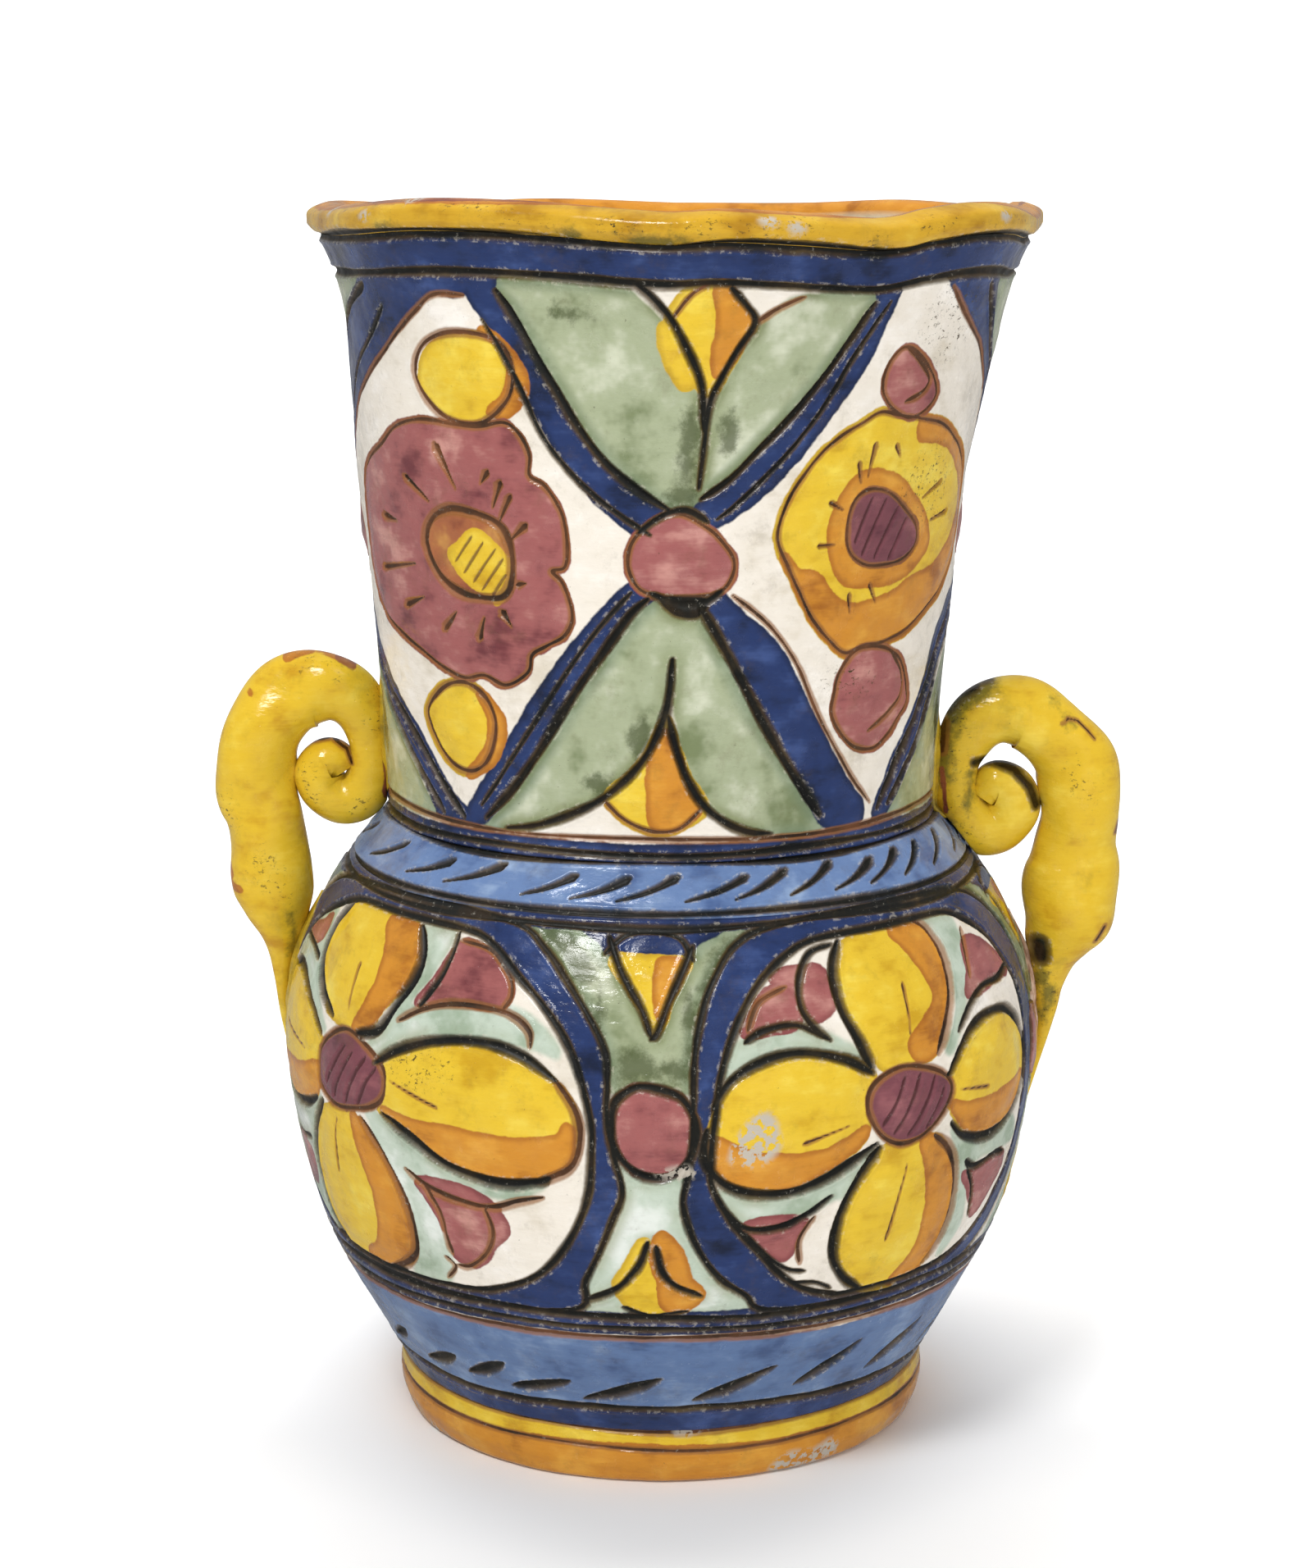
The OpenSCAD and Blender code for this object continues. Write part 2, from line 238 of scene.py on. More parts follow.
class Wall:
    """The outside of one turned piece, as rows of heights by columns of angles."""

    def __init__(self, outline, low_z, high_z):
        z = np.linspace(low_z, high_z, 400)
        r = outline(z)
        run = np.concatenate([[0], np.cumsum(np.hypot(np.diff(z), np.diff(r)))])
        rows = max(3, round(run[-1] / FINE) + 1)
        self.z = np.interp(np.linspace(0, run[-1], rows), run, z)
        self.r = outline(self.z)
        self.columns = round(2 * math.pi * self.r.max() / FINE)
        self.angle = np.arange(self.columns) * 360 / self.columns - 180
        self.across = self.r * math.pi / 180
        self.up = np.sqrt(1 + np.gradient(self.r, self.z) ** 2)
        shape = (rows, self.columns)
        self.colour = {name: np.full(shape, FAR, np.float32) for name in COLOURS}
        self.groove = np.zeros(shape, np.float32)
        self.burr = np.zeros(shape, np.float32)
        self.raised = np.zeros(shape, np.float32)

    def window(self, p, margin):
        """Rows and columns near the points p, or None if they miss this piece."""
        rows = np.flatnonzero((self.z > p[:, 1].min() - margin) & (self.z < p[:, 1].max() + margin))
        if not rows.size:
            return None
        step = 360 / self.columns
        side = margin / self.across[rows].min()
        first = math.floor((p[:, 0].min() - side + 180) / step)
        last = math.ceil((p[:, 0].max() + side + 180) / step)
        cols = np.arange(first, last + 1)
        return rows, cols, (cols * step - 180).astype(np.float32)

    def distance(self, p, rows, angle, closed, widths=None):
        """Distance in mm to the curve p, and the curve's width share at the nearest point."""
        k = self.across[rows][:, None].astype(np.float32)
        g = self.up[rows][:, None].astype(np.float32)
        x = angle[None, :] * k
        y = self.z[rows][:, None].astype(np.float32) * g + 0 * x
        best = np.full(x.shape, 1e6, np.float32)
        width = np.ones(x.shape, np.float32)
        count = len(p) if closed else len(p) - 1
        for i in range(count):
            j = (i + 1) % len(p)
            ax, ay = p[i, 0] * k, p[i, 1] * g
            dx, dy = (p[j, 0] - p[i, 0]) * k, (p[j, 1] - p[i, 1]) * g
            t = np.clip(((x - ax) * dx + (y - ay) * dy) / (dx * dx + dy * dy + 1e-9), 0, 1)
            d = np.hypot(x - ax - t * dx, y - ay - t * dy)
            near = d < best
            best = np.where(near, d, best)
            if widths is not None:
                width = np.where(near, widths[i] + (widths[j] - widths[i]) * t, width)
        return best, width

    def inside(self, p, rows, angle):
        """True where the grid lies inside the closed curve p."""
        y = self.z[rows][:, None]
        x = angle[None, :]
        odd = np.zeros((len(rows), len(angle)), bool)
        for i in range(len(p)):
            a, b = p[i], p[(i + 1) % len(p)]
            if a[1] == b[1]:
                continue
            crosses = (a[1] > y) != (b[1] > y)
            odd ^= crosses & (x < (b[0] - a[0]) * (y - a[1]) / (b[1] - a[1]) + a[0])
        return odd

    def merge(self, name, rows, cols, values):
        """Keeps the nearer of the old and new distances of a colour."""
        here = np.ix_(rows, cols % self.columns)
        self.colour[name][here] = np.minimum(self.colour[name][here], values)

    def fill(self, name, points, hole=None):
        """Paints the closed shape through points, less a closed hole."""
        p = rounded(points, True)
        spot = self.window(p, FAR)
        if spot is None:
            return
        rows, cols, angle = spot
        d, _ = self.distance(p, rows, angle, True)
        d = np.where(self.inside(p, rows, angle), -d, d)
        if hole is not None:
            q = rounded(hole, True)
            e, _ = self.distance(q, rows, angle, True)
            d = np.maximum(d, np.where(self.inside(q, rows, angle), e, -e))
        self.merge(name, rows, cols, d)

    def cut(self, points, width=2.5, depth=0.95, ink="black", form="line", closed=False):
        """Carves a groove along points and inks it."""
        p = rounded(points, closed)
        spot = self.window(p, width + FAR)
        if spot is None:
            return
        rows, cols, angle = spot
        t = np.linspace(0, 1, len(p))
        shares = np.ones(len(p)) if closed else stroke(form, t)
        shares = shares * (1 + 0.12 * np.sin(np.arange(len(p)) * 0.45 + p[0, 0]))
        d, share = self.distance(p, rows, angle, closed, shares)
        half = width / 2 * share
        self.press(rows, cols, d, half, depth * share ** 0.5)
        self.merge(ink, rows, cols, groove_distance(d, half))

    def press(self, rows, cols, d, half, depth):
        """Presses a round-bottomed groove, with the clay it pushed up along both sides."""
        here = np.ix_(rows, cols % self.columns)
        bottom = depth * np.clip(1 - (d / half) ** 2, 0, 1) ** 0.8
        self.groove[here] = np.maximum(self.groove[here], bottom)
        edge = 0.22 * depth * np.exp(-((d - half - 0.3) / 0.38) ** 2)
        self.burr[here] = np.maximum(self.burr[here], edge)

    def ring_cut(self, z, width, depth, ink="black", wander=0.3, seed=1):
        """Carves a groove right round the pot at height z."""
        if self.z[0] - 6 > z or self.z[-1] + 6 < z:
            return
        line = z + wander * lumps(self.angle, 0, seed, 60)
        rows = np.arange(len(self.z))
        cols = np.arange(self.columns)
        d = np.abs(self.z[:, None] - line[None, :]) * self.up[:, None]
        half = width / 2 * (1 + 0.2 * lumps(self.angle, 0, seed + 50, 35))[None, :]
        self.press(rows, cols, d, half, depth)
        self.merge(ink, rows, cols, groove_distance(d, half))

    def band(self, name, z0, z1, wander=0.3, seed=1):
        """Paints a band right round the pot between two heights."""
        a = z0 + wander * lumps(self.angle, 0, seed, 50)
        b = z1 + wander * lumps(self.angle, 0, seed + 9, 50)
        z = self.z[:, None]
        d = np.maximum(a[None, :] - z, z - b[None, :]) * self.up[:, None]
        self.merge(name, np.arange(len(self.z)), np.arange(self.columns), np.minimum(d, FAR))

    def swell(self, points, height):
        """Raises the closed shape through points into a low cushion."""
        p = rounded(points, True)
        spot = self.window(p, 1)
        if spot is None:
            return
        rows, cols, angle = spot
        d, _ = self.distance(p, rows, angle, True)
        rise = np.where(self.inside(p, rows, angle), height * ease(d / 6), 0)
        here = np.ix_(rows, cols % self.columns)
        self.raised[here] = np.maximum(self.raised[here], rise)

    def relief(self):
        """Height of the surface over the turned outline, in mm."""
        a, z = self.angle[None, :], self.z[:, None]
        hand = 0.16 * lumps(a, z, 3, 38) + 0.05 * lumps(a, z, 4, 11) + 0.02 * lumps(a, z, 5, 4)
        turning = 0.012 * np.sin(z * 2.1 + 0.6 * lumps(a, 0, 6, 90)) * (1 + 0.5 * lumps(a, z, 7, 30))
        burr = self.burr * np.clip(1 - self.groove / 0.15, 0, 1)
        return hand + turning + self.raised + burr - self.groove


class Turned:
    """Draws on several walls at once, turned round the pot and a little uneven."""

    def __init__(self, walls, turn=0, wobble=0.0, seed=0):
        self.walls = walls
        self.turn = turn
        self.wobble = wobble
        self.rng = np.random.default_rng(seed)

    def moved(self, points):
        """The points where this pen really draws them."""
        p = np.array(points, float)
        p += self.rng.uniform(-self.wobble, self.wobble, p.shape)
        p[:, 0] += self.turn
        return p

    def fill(self, name, points, hole=None):
        p = self.moved(points)
        q = None if hole is None else self.moved(hole)
        for wall in self.walls:
            wall.fill(name, p, q)

    def petal(self, name, points, height=0.6):
        """A fill that also stands a little proud."""
        p = self.moved(points)
        for wall in self.walls:
            wall.fill(name, p)
            wall.swell(p, height)

    def cut(self, points, *args, **settings):
        p = self.moved(points)
        for wall in self.walls:
            wall.cut(p, *args, **settings)


# ---- Decoration of the neck ----

def neck_arms(pen):
    """The navy arms of the X at the front, with the grooves carved along them."""
    pen.fill("navy", [(-30, 244.5), (-30, 240.5), (-27.5, 237.5), (-24, 232), (-20, 224.5), (-15, 216),
                      (-10, 209.5), (-5, 205), (0, 201.5), (4, 199.5), (1, 196.5), (-3, 195.5),
                      (-6, 197), (-10, 200.5), (-15, 206), (-19, 212), (-23, 219), (-27, 227),
                      (-31, 233.5), (-35, 239.5), (-36, 244.5)])
    pen.cut([(-30, 241), (-25, 233), (-20, 224.5), (-15, 216), (-10, 209.5), (-5, 205), (1, 201)], 2.0)
    pen.cut([(-33, 236), (-27, 226), (-22, 215.5), (-17, 208.5), (-12, 203.5), (-7, 199.5), (-2, 196)],
            1.3, 0.5)
    pen.fill("navy", [(33, 244), (33, 240), (28, 230), (22, 220), (16, 212.5), (11, 206.5), (7.5, 203.5),
                      (5, 200), (9, 197.5), (14, 200.5), (20, 206), (25, 213), (30, 221), (34, 229),
                      (36, 236), (37.5, 244)])
    pen.cut([(33, 241), (28, 230), (22, 220), (16, 212.5), (11, 206.5), (6.5, 203)], 1.8)
    pen.cut([(36, 241), (31, 230), (26, 219), (20, 210), (13, 202), (9.5, 199)], 1.2, 0.5)
    pen.fill("navy", [(-5, 187), (-10, 182.5), (-15, 176.5), (-20, 170), (-25, 163), (-30, 155.5),
                      (-33, 151), (-36, 147), (-39, 143), (-42, 138), (-40, 135.5), (-36, 137.5),
                      (-32, 141.5), (-28, 146), (-25, 150.5), (-20, 158), (-15, 166), (-10, 173),
                      (-5, 180.5), (-1, 184.5)])
    pen.cut([(-2.5, 183.5), (-6, 180), (-11, 172.5), (-16, 165.3), (-21, 157.3), (-26, 149.8),
             (-31, 143.5), (-37, 137.5)], 2.1)
    pen.cut([(-5.5, 184.8), (-12, 177), (-19, 167), (-26, 156.5), (-33, 146.5), (-38, 140)], 1.1, 0.4)
    pen.fill("navy", [(6, 185), (8, 181), (12, 172), (16, 164), (20, 157), (25, 149), (30, 141.5),
                      (34, 136), (43, 135.5), (44, 139.5), (42, 142), (38, 147), (34, 153.5), (30, 160),
                      (26, 167.5), (22, 174), (18, 178), (13, 182.5), (10, 186)])
    pen.cut([(7, 182), (12, 173), (17, 163.5), (22, 154.5), (27, 146.8), (33, 138.5)], 2.4)
    pen.cut([(13, 184), (20, 178), (26, 170), (31, 160), (36, 152), (41, 145), (46, 139.5)],
            1.2, 0.4, "brown")


def neck_side_arms(pen):
    """The arms that reach the X on each side, as far as the sides of the pot."""
    pen.fill("navy", [(-44, 245), (-60, 245), (-66, 242), (-72, 239.5), (-78, 236.5), (-84, 231),
                      (-90, 220), (-94, 205), (-90, 196), (-86, 200), (-82, 207), (-78, 213),
                      (-72, 219), (-65, 224), (-58, 229), (-52, 233.5), (-46, 237.5), (-42, 240),
                      (-36, 240), (-31, 245)])
    pen.cut([(-36, 240), (-42, 240), (-47, 237), (-53, 233), (-59, 228.5), (-66, 223.5), (-73, 218.5),
             (-79, 212), (-84, 204), (-89, 197)], 1.3, 0.4, "brown")
    pen.cut([(-62, 242), (-68, 240), (-74, 237.5), (-80, 234), (-86, 226), (-92, 212)], 2.2)
    pen.cut([(-56, 238), (-64, 231), (-72, 225), (-80, 216), (-86, 206)], 1.3, 0.5)
    pen.fill("navy", [(-40, 137), (-45, 141), (-50, 146), (-55, 151.5), (-60, 156), (-66, 161),
                      (-72, 166.5), (-80, 172.5), (-86, 180), (-90, 186), (-93, 182), (-90, 176),
                      (-84, 168), (-78, 162), (-72, 157), (-66, 152), (-60, 147), (-56, 142.5),
                      (-52, 138), (-50, 135.5), (-42, 135.5)])
    pen.cut([(-43, 137), (-50, 143.5), (-57, 150.5), (-64, 156), (-72, 161.5), (-80, 168.5),
             (-88, 178)], 2.4)
    pen.cut([(-49, 137), (-56, 143.5), (-63, 150), (-71, 156.5), (-79, 163), (-88, 173)], 2.0)
    pen.fill("navy", [(48, 244.5), (50, 240.5), (55, 237), (60, 233.5), (65, 230.5), (70, 226),
                      (75, 221.5), (79, 219), (84, 209), (90, 196), (93, 200), (90, 206), (84, 218),
                      (78, 226), (74, 230), (70, 236), (66, 241), (62, 244.5)])
    pen.cut([(49, 242), (54, 237.5), (60, 233.5), (65, 230.5), (70, 226), (76, 220.5), (83, 210),
             (89, 197)], 1.3, 0.4, "brown")
    pen.cut([(61, 242), (66, 237.5), (72, 230.5), (78, 224), (84, 214.5), (89, 204)], 2.2)
    pen.fill("navy", [(47, 136), (48, 140), (52, 147), (57, 153), (62, 159), (66, 166), (69, 172),
                      (76, 178), (84, 182), (90, 187), (93, 182), (90, 176), (84, 172), (76, 166),
                      (71, 160), (66, 153), (60, 146), (55, 140.5), (51, 136)])
    pen.cut([(48.5, 138), (54, 146.5), (60, 153.5), (66, 161), (73, 170.5), (81, 176.5), (88, 181.5)], 2.4)
    pen.cut([(52, 138.5), (58, 145), (64, 151.5), (70, 160), (78, 168.5), (88, 176)], 2.0)


def neck_leaves(pen):
    """The mint leaves that fill the angles of each X."""
    pen.fill("mint", [(-30, 243), (-20, 243.8), (-10, 243.8), (-6, 241), (-2, 236), (0, 231), (3, 225),
                      (5.5, 218), (6, 210), (5, 204), (2, 201.5), (-2, 202.5), (-6, 206), (-12, 212),
                      (-17, 219), (-22, 228), (-26, 235.5)])
    pen.fill("mint", [(-1, 203), (4, 206), (9, 203), (6, 199), (3, 199)])
    pen.fill("mint", [(20, 241.8), (35, 243), (33, 238), (28, 230), (22, 220), (16, 212.5), (11, 206.5),
                      (7.5, 203.5), (6.5, 210), (7, 218), (9, 226), (12, 233), (15, 238)])
    pen.fill("mint", [(-1, 183), (-5, 179.5), (-10, 172), (-16, 163.5), (-22, 154), (-28, 145),
                      (-34, 138.5), (-37, 136.3), (-30, 136), (-24, 137.5), (-18, 140), (-12, 144),
                      (-7, 149.5), (-3, 156), (0, 163), (2, 171), (3, 180)])
    pen.fill("mint", [(3, 182), (6, 181), (9, 176.5), (13, 168.5), (18, 159.5), (23, 151), (28, 143),
                      (33, 136.2), (27, 135.8), (21, 136.5), (15, 138.5), (10, 142), (6.5, 147.5),
                      (4, 154), (2.8, 162), (2, 171)])
    pen.fill("mint", [(-52, 136), (-56, 141), (-62, 147), (-70, 154), (-78, 160.5), (-88, 170),
                      (-96, 170), (-96, 136), (-88, 135.5)])
    pen.fill("mint", [(53, 136), (58, 142), (64, 149), (72, 159), (80, 167), (88, 173), (94, 173),
                      (94, 136), (88, 135.5)])
    pen.fill("mint", [(-64, 243), (-70, 243.5), (-95, 243.5), (-97, 212), (-90, 222), (-84, 232),
                      (-78, 237.5), (-72, 240.5)])
    pen.fill("mint", [(64, 243), (92, 243.5), (94, 212), (90, 207), (84, 219), (78, 227.5), (72, 234)])
    for spot in [(3.6, 213, 1.4, 8), (10.5, 216, 1.6, 4), (-3.5, 154, 2, 6), (-17, 237.5, 3, 1),
                 (3, 204, 2, 2.5), (-12, 146.5, 3, 1.6), (-79, 150, 3, 6), (79, 152, 3, 7)]:
        pen.fill("pool_and_shade", blob(*spot))


def neck_buds(pen):
    """The yellow bud above the crossing and the one below it."""
    pen.petal("yellow", [(-1, 238), (1, 242), (3, 242.6), (6, 242.6), (9, 240.6), (12, 236.5), (10.5, 233),
                         (8.5, 228), (6.5, 223.5), (4, 226), (2, 230), (-0.5, 234)])
    pen.fill("orange", [(6, 243.5), (9, 241), (12, 236.5), (10, 231.5), (7.5, 227), (6.5, 231), (7, 236)])
    pen.fill("yellow", [(-2, 236), (-1, 230), (2, 225), (3.5, 227), (1.5, 232)])
    pen.cut([(-0.5, 238), (2, 242), (5, 244)], 1.2, 0.4, "brown")
    pen.cut([(8, 243), (10.5, 240), (12.5, 236.5), (10, 231), (8, 226), (6.5, 221), (6.3, 213),
             (6, 205)], 1.8, 0.7)
    pen.cut([(-7, 244.5), (-4, 241.5), (-1, 237.5), (2, 231.5), (4.5, 226), (5.5, 221), (6, 216)], 2.0)
    pen.cut([(12.5, 236.5), (16, 239.5), (20, 241.8)], 1.4, 0.4, "brown")
    pen.petal("yellow", [(0.5, 159), (-2, 153.5), (-5, 149), (-10, 144.5), (-9, 141.5), (-5, 138.5),
                         (0, 137.2), (4, 138.5), (8, 142), (5, 147.5), (3, 152.5), (1.5, 158)])
    pen.fill("orange", [(0.5, 157), (-2, 150), (-2, 144), (-1.5, 139), (1, 137.8), (4, 139), (7, 142),
                        (4.5, 147.5), (2.5, 153)])
    pen.cut([(2, 171.5), (1.5, 165), (0.5, 160), (-2, 154), (-5, 149.5), (-9, 145.5), (-13, 142.5),
             (-19, 139.5), (-26, 137), (-32, 136)], 2.1)
    pen.cut([(1.3, 160), (3, 153), (5, 147.5), (8, 142.5), (12, 139), (17, 136.5), (22, 135.8)], 2.1)
    pen.cut([(-11, 143), (-8, 140), (-4, 137.8), (0, 137), (4, 138), (8, 142)], 1.3, 0.4, "brown")


def crossing(pen, shift=0):
    """The mauve oval over the middle of an X."""
    oval = [(-6, 190), (-5, 195), (-1, 199), (3, 200.2), (7, 198), (10, 195.5), (13, 191), (12.5, 187),
            (10, 184.5), (4, 183.8), (0, 184), (-4, 185.5)]
    moved = [(a + shift, z) for a, z in oval]
    pen.petal("mauve", moved, 0.7)
    pen.cut(moved, 1.2, 0.4, "brown", closed=True)
    pen.cut([(shift - 4, 196.5), (shift + 0, 199.8), (shift + 4, 200.8), (shift + 8, 198.5)], 1.8, 0.6)
    pen.cut([(shift - 2, 184.6), (shift + 3, 182.5), (shift + 8, 182.8), (shift + 11, 185)], 2.2, 0.7)
    pen.fill("black", [(shift - 1, 184), (shift + 4, 184.3), (shift + 9, 183.5), (shift + 7, 179.5),
                       (shift + 2, 180)])


def seeds(pen, lines, width=2.3, depth=0.75, ink="brown"):
    """Short pointed cuts, one for each pair of ends."""
    for a, b in lines:
        pen.cut([a, halfway(a, b), b], width, depth, ink, "wedge")


def hatch(pen, lines, width=1.0, depth=0.35):
    """Straight cuts side by side that carry no colour of their own."""
    for a, b in lines:
        pen.cut([a, halfway(a, b), b], width, depth, "scratch")


def left_panel(pen):
    """The mauve flower on the neck, between two yellow buds."""
    bud = [(-47, 224), (-46, 228), (-43, 231), (-38, 232.5), (-33, 232.5), (-29.5, 229.5), (-29, 225),
           (-31, 220.5), (-34, 217), (-37, 217.5), (-42, 219), (-46, 222)]
    pen.petal("yellow", bud)
    pen.fill("orange", [(-31.5, 219), (-28.5, 222), (-27.5, 227), (-29, 231.5), (-33, 234), (-30, 232.5),
                        (-26, 228), (-25, 223), (-28, 219)])
    pen.cut([(-49, 226), (-47, 230.5), (-42, 233), (-36, 233.5), (-30, 232), (-27.5, 227.5), (-28, 222),
             (-32, 217.5), (-36, 216.3), (-42, 217.5), (-47, 221.5)], 1.6, 0.5, "brown", closed=True)
    flower = [(-39, 216), (-34, 216), (-29, 217), (-26, 215), (-24, 211), (-24, 207), (-21, 205),
              (-18, 200), (-17, 194), (-17.5, 189.5), (-20, 188.5), (-18, 186), (-16.5, 180),
              (-18, 176), (-22, 173.5), (-25, 171.5), (-26, 168), (-31, 165), (-36, 166.5),
              (-41, 165.5), (-47, 167), (-53, 169.5), (-60, 172), (-68, 175.5), (-73, 180), (-75, 186),
              (-75, 195), (-73, 203), (-69, 207), (-62, 210.5), (-56, 214.5), (-48, 216.5)]
    pen.petal("mauve", flower, 0.5)
    pen.cut(flower, 1.3, 0.45, "brown", closed=True)
    eye = [(-48, 192), (-46, 197), (-41, 199.5), (-35, 199), (-30, 197), (-28, 193), (-28, 187),
           (-30, 183), (-35, 182.3), (-40, 183), (-45, 186)]
    pen.fill("rust", eye)
    pen.cut(eye, 2.4, 0.7, "brown", closed=True)
    pen.fill("centre", [(-42, 190), (-39, 193.5), (-35, 196), (-31, 193.5), (-28.5, 190.5),
                        (-28.5, 185.5), (-31, 181.5), (-34, 183), (-38, 185.5)])
    hatch(pen, [((-40.5, 189), (-36, 194.5)), ((-38.5, 187), (-33.5, 193.5)), ((-36.5, 185.3), (-31, 192.3)),
                ((-34.5, 184), (-29.5, 190.5)), ((-32.5, 182.8), (-29, 187.5))])
    seeds(pen, [((-44, 212), (-39, 203.5)), ((-53, 205), (-46, 200.5)), ((-63, 196), (-57, 195.5)),
                ((-66, 185), (-52, 187.5)), ((-57, 178.5), (-50, 181)), ((-45, 175), (-41, 179)),
                ((-36, 174), (-34.5, 178.5)), ((-30.5, 180), (-28.5, 177)), ((-27, 185.5), (-25, 186)),
                ((-24.5, 197.5), (-28, 194)), ((-27.5, 203), (-30, 197.5)), ((-29.5, 205.5), (-31, 200.5)),
                ((-32, 207.5), (-33.5, 205))])
    lower = [(-53, 156.5), (-51, 160), (-46, 163.5), (-41, 164.5), (-36.5, 162.5), (-34, 158),
             (-34.5, 153), (-37, 148.5), (-41, 146.5), (-46, 147.5), (-50, 151)]
    pen.petal("yellow", lower)
    pen.fill("orange", [(-37, 163), (-33, 159.5), (-32, 155.5), (-34, 150.5), (-38, 147), (-41, 146),
                        (-37.5, 149.5), (-35, 153.5), (-34.8, 158)])
    pen.cut(lower, 1.5, 0.45, "brown", closed=True)


def right_panel(pen):
    """The yellow flower on the neck, between two mauve buds."""
    bud = [(38, 226), (39.5, 229.5), (42, 231), (46, 229), (50.5, 225), (52.5, 221), (50, 218),
           (46, 217), (41.5, 219), (38.5, 222.5)]
    pen.petal("mauve", bud)
    pen.cut(bud, 1.2, 0.4, "brown", closed=True)
    pen.cut([(42, 231), (46, 228), (49.5, 224.5), (48, 222), (44, 220.3)], 1.5, 0.5, "brown")
    flower = [(35, 216.5), (39, 218.5), (44, 217.5), (50, 216.5), (57, 215), (63, 212), (69, 208.5),
              (74, 203.5), (77, 197), (76, 190), (73, 184), (68, 180), (61, 176.5), (54, 173.5),
              (48, 172.2), (42, 172), (37, 171), (33, 174), (29, 178.5), (26, 184), (23.5, 189),
              (21, 195), (22, 201), (24.5, 206.5), (28, 211.5), (31.5, 214.5)]
    pen.petal("yellow", flower, 0.5)
    pen.fill("orange", [(22.5, 191), (25, 188), (29, 187), (32, 183), (36, 180.5), (42, 180.5),
                        (48, 181.5), (54, 184), (60, 185), (66, 187.5), (70, 191), (73, 197),
                        (70, 203), (64, 208.5), (57, 212), (50, 213), (50, 216.3), (57, 215),
                        (63, 212), (69, 208.5), (74, 203.5), (77, 197), (76, 190), (73, 184),
                        (68, 180), (61, 176.5), (54, 173.5), (48, 172.2), (42, 172), (37, 171),
                        (33, 174), (29, 178.5), (26, 184)])
    pen.cut(flower, 1.2, 0.4, "brown", closed=True)
    pen.fill("orange", [(36, 206), (33, 202), (31.5, 196), (32.5, 190), (35, 186), (40, 184.8),
                        (48, 185), (54, 187), (58, 191), (56, 196), (51, 200.5), (46, 204.5), (40, 206.5)])
    centre = [(35, 197), (36, 201.5), (39, 203.5), (44, 202.5), (49, 199), (53.5, 195), (54, 191),
              (50, 188.5), (45, 188), (40, 188.5), (36, 191.5)]
    pen.petal("plum", centre, 0.4)
    pen.cut(centre, 1.1, 0.4, "brown", closed=True)
    hatch(pen, [((37, 193), (40, 202)), ((39, 190.5), (43.5, 201.5)), ((42, 189.5), (47, 199.5)),
                ((46, 189), (50, 197))])
    seeds(pen, [((38.5, 212.5), (38, 206)), ((35.5, 209), (36.5, 205)), ((30.5, 201.5), (33.5, 199.8)),
                ((29, 193), (32.5, 193)), ((43.5, 212), (45, 209.5)), ((60, 203.5), (54, 200.5)),
                ((65, 196.8), (58, 195.5)), ((41.5, 184.5), (43.5, 180.5)), ((36.5, 183), (37, 179))], 1.4)
    lower = [(35, 163), (36, 167), (39.5, 171), (44, 171.5), (49, 170.5), (54, 167.5), (56.5, 162.5),
             (57, 158.5), (54, 155.5), (50, 152), (46, 150.5), (41, 151.5), (37, 155), (34.8, 159)]
    pen.petal("mauve", lower)
    pen.cut(lower, 1.3, 0.45, "brown", closed=True)
    pen.cut([(50, 170), (54, 165.5), (54, 161), (50, 157.5), (44, 154.5)], 1.3, 0.4, "brown")


def paint_neck(wall):
    """All of the neck: bands, and the front drawn again on the back."""
    wall.band("navy", 130, 134.6, 0.25, 21)
    wall.ring_cut(132.4, 1.6, 0.7, seed=22)
    wall.ring_cut(135.4, 1.3, 0.5, "brown", seed=23)
    wall.band("navy", 244.4, 256, 0.25, 24)
    wall.ring_cut(244.0, 2.0, 0.7, seed=25)
    wall.ring_cut(251.2, 2.6, 0.9, seed=27)
    for turn in (0, 180):
        pen = Turned([wall], turn, 0.35 if turn else 0, 5)
        neck_leaves(pen)
        neck_side_arms(pen)
        neck_arms(pen)
        neck_buds(pen)
        left_panel(pen)
        right_panel(pen)
        crossing(pen)
        crossing(pen, -93.5)
        wall.fill("speckle", pen.moved(blob(52, 236, 8, 9)))
        wall.fill("speckle", pen.moved(blob(55, 203, 8, 8)))
        wall.fill("speckle", pen.moved(blob(38, 165, 6, 4)))


# ---- Decoration of the shoulder and the foot of the belly ----

def leaning_cuts(wall, lines, width, depth, form):
    """Short curved cuts, one for each pair of ends."""
    for a, b in lines:
        wall.cut([a, halfway(a, b, 0.4), b], width, depth, form=form)


def paint_collar(wall):
    """Slanting wedge cuts round the shoulder, between two rings."""
    rng = np.random.default_rng(32)
    heads = [-59, -43, -31, -16, -6, 3, 16, 24, 34, 44, 52, 60]
    heads += [a + rng.uniform(-1.5, 1.5) for a in range(72, 292, 11)]
    leaning_cuts(wall, [((a, 128.8 + rng.uniform(-0.5, 0.5)), (a - rng.uniform(9.5, 12), 124.6))
                        for a in heads], 2.5, 0.9, "wedge")
    wall.ring_cut(122.2, 2.0, 0.9, seed=33)
    wall.ring_cut(130.9, 1.9, 0.8, seed=34)


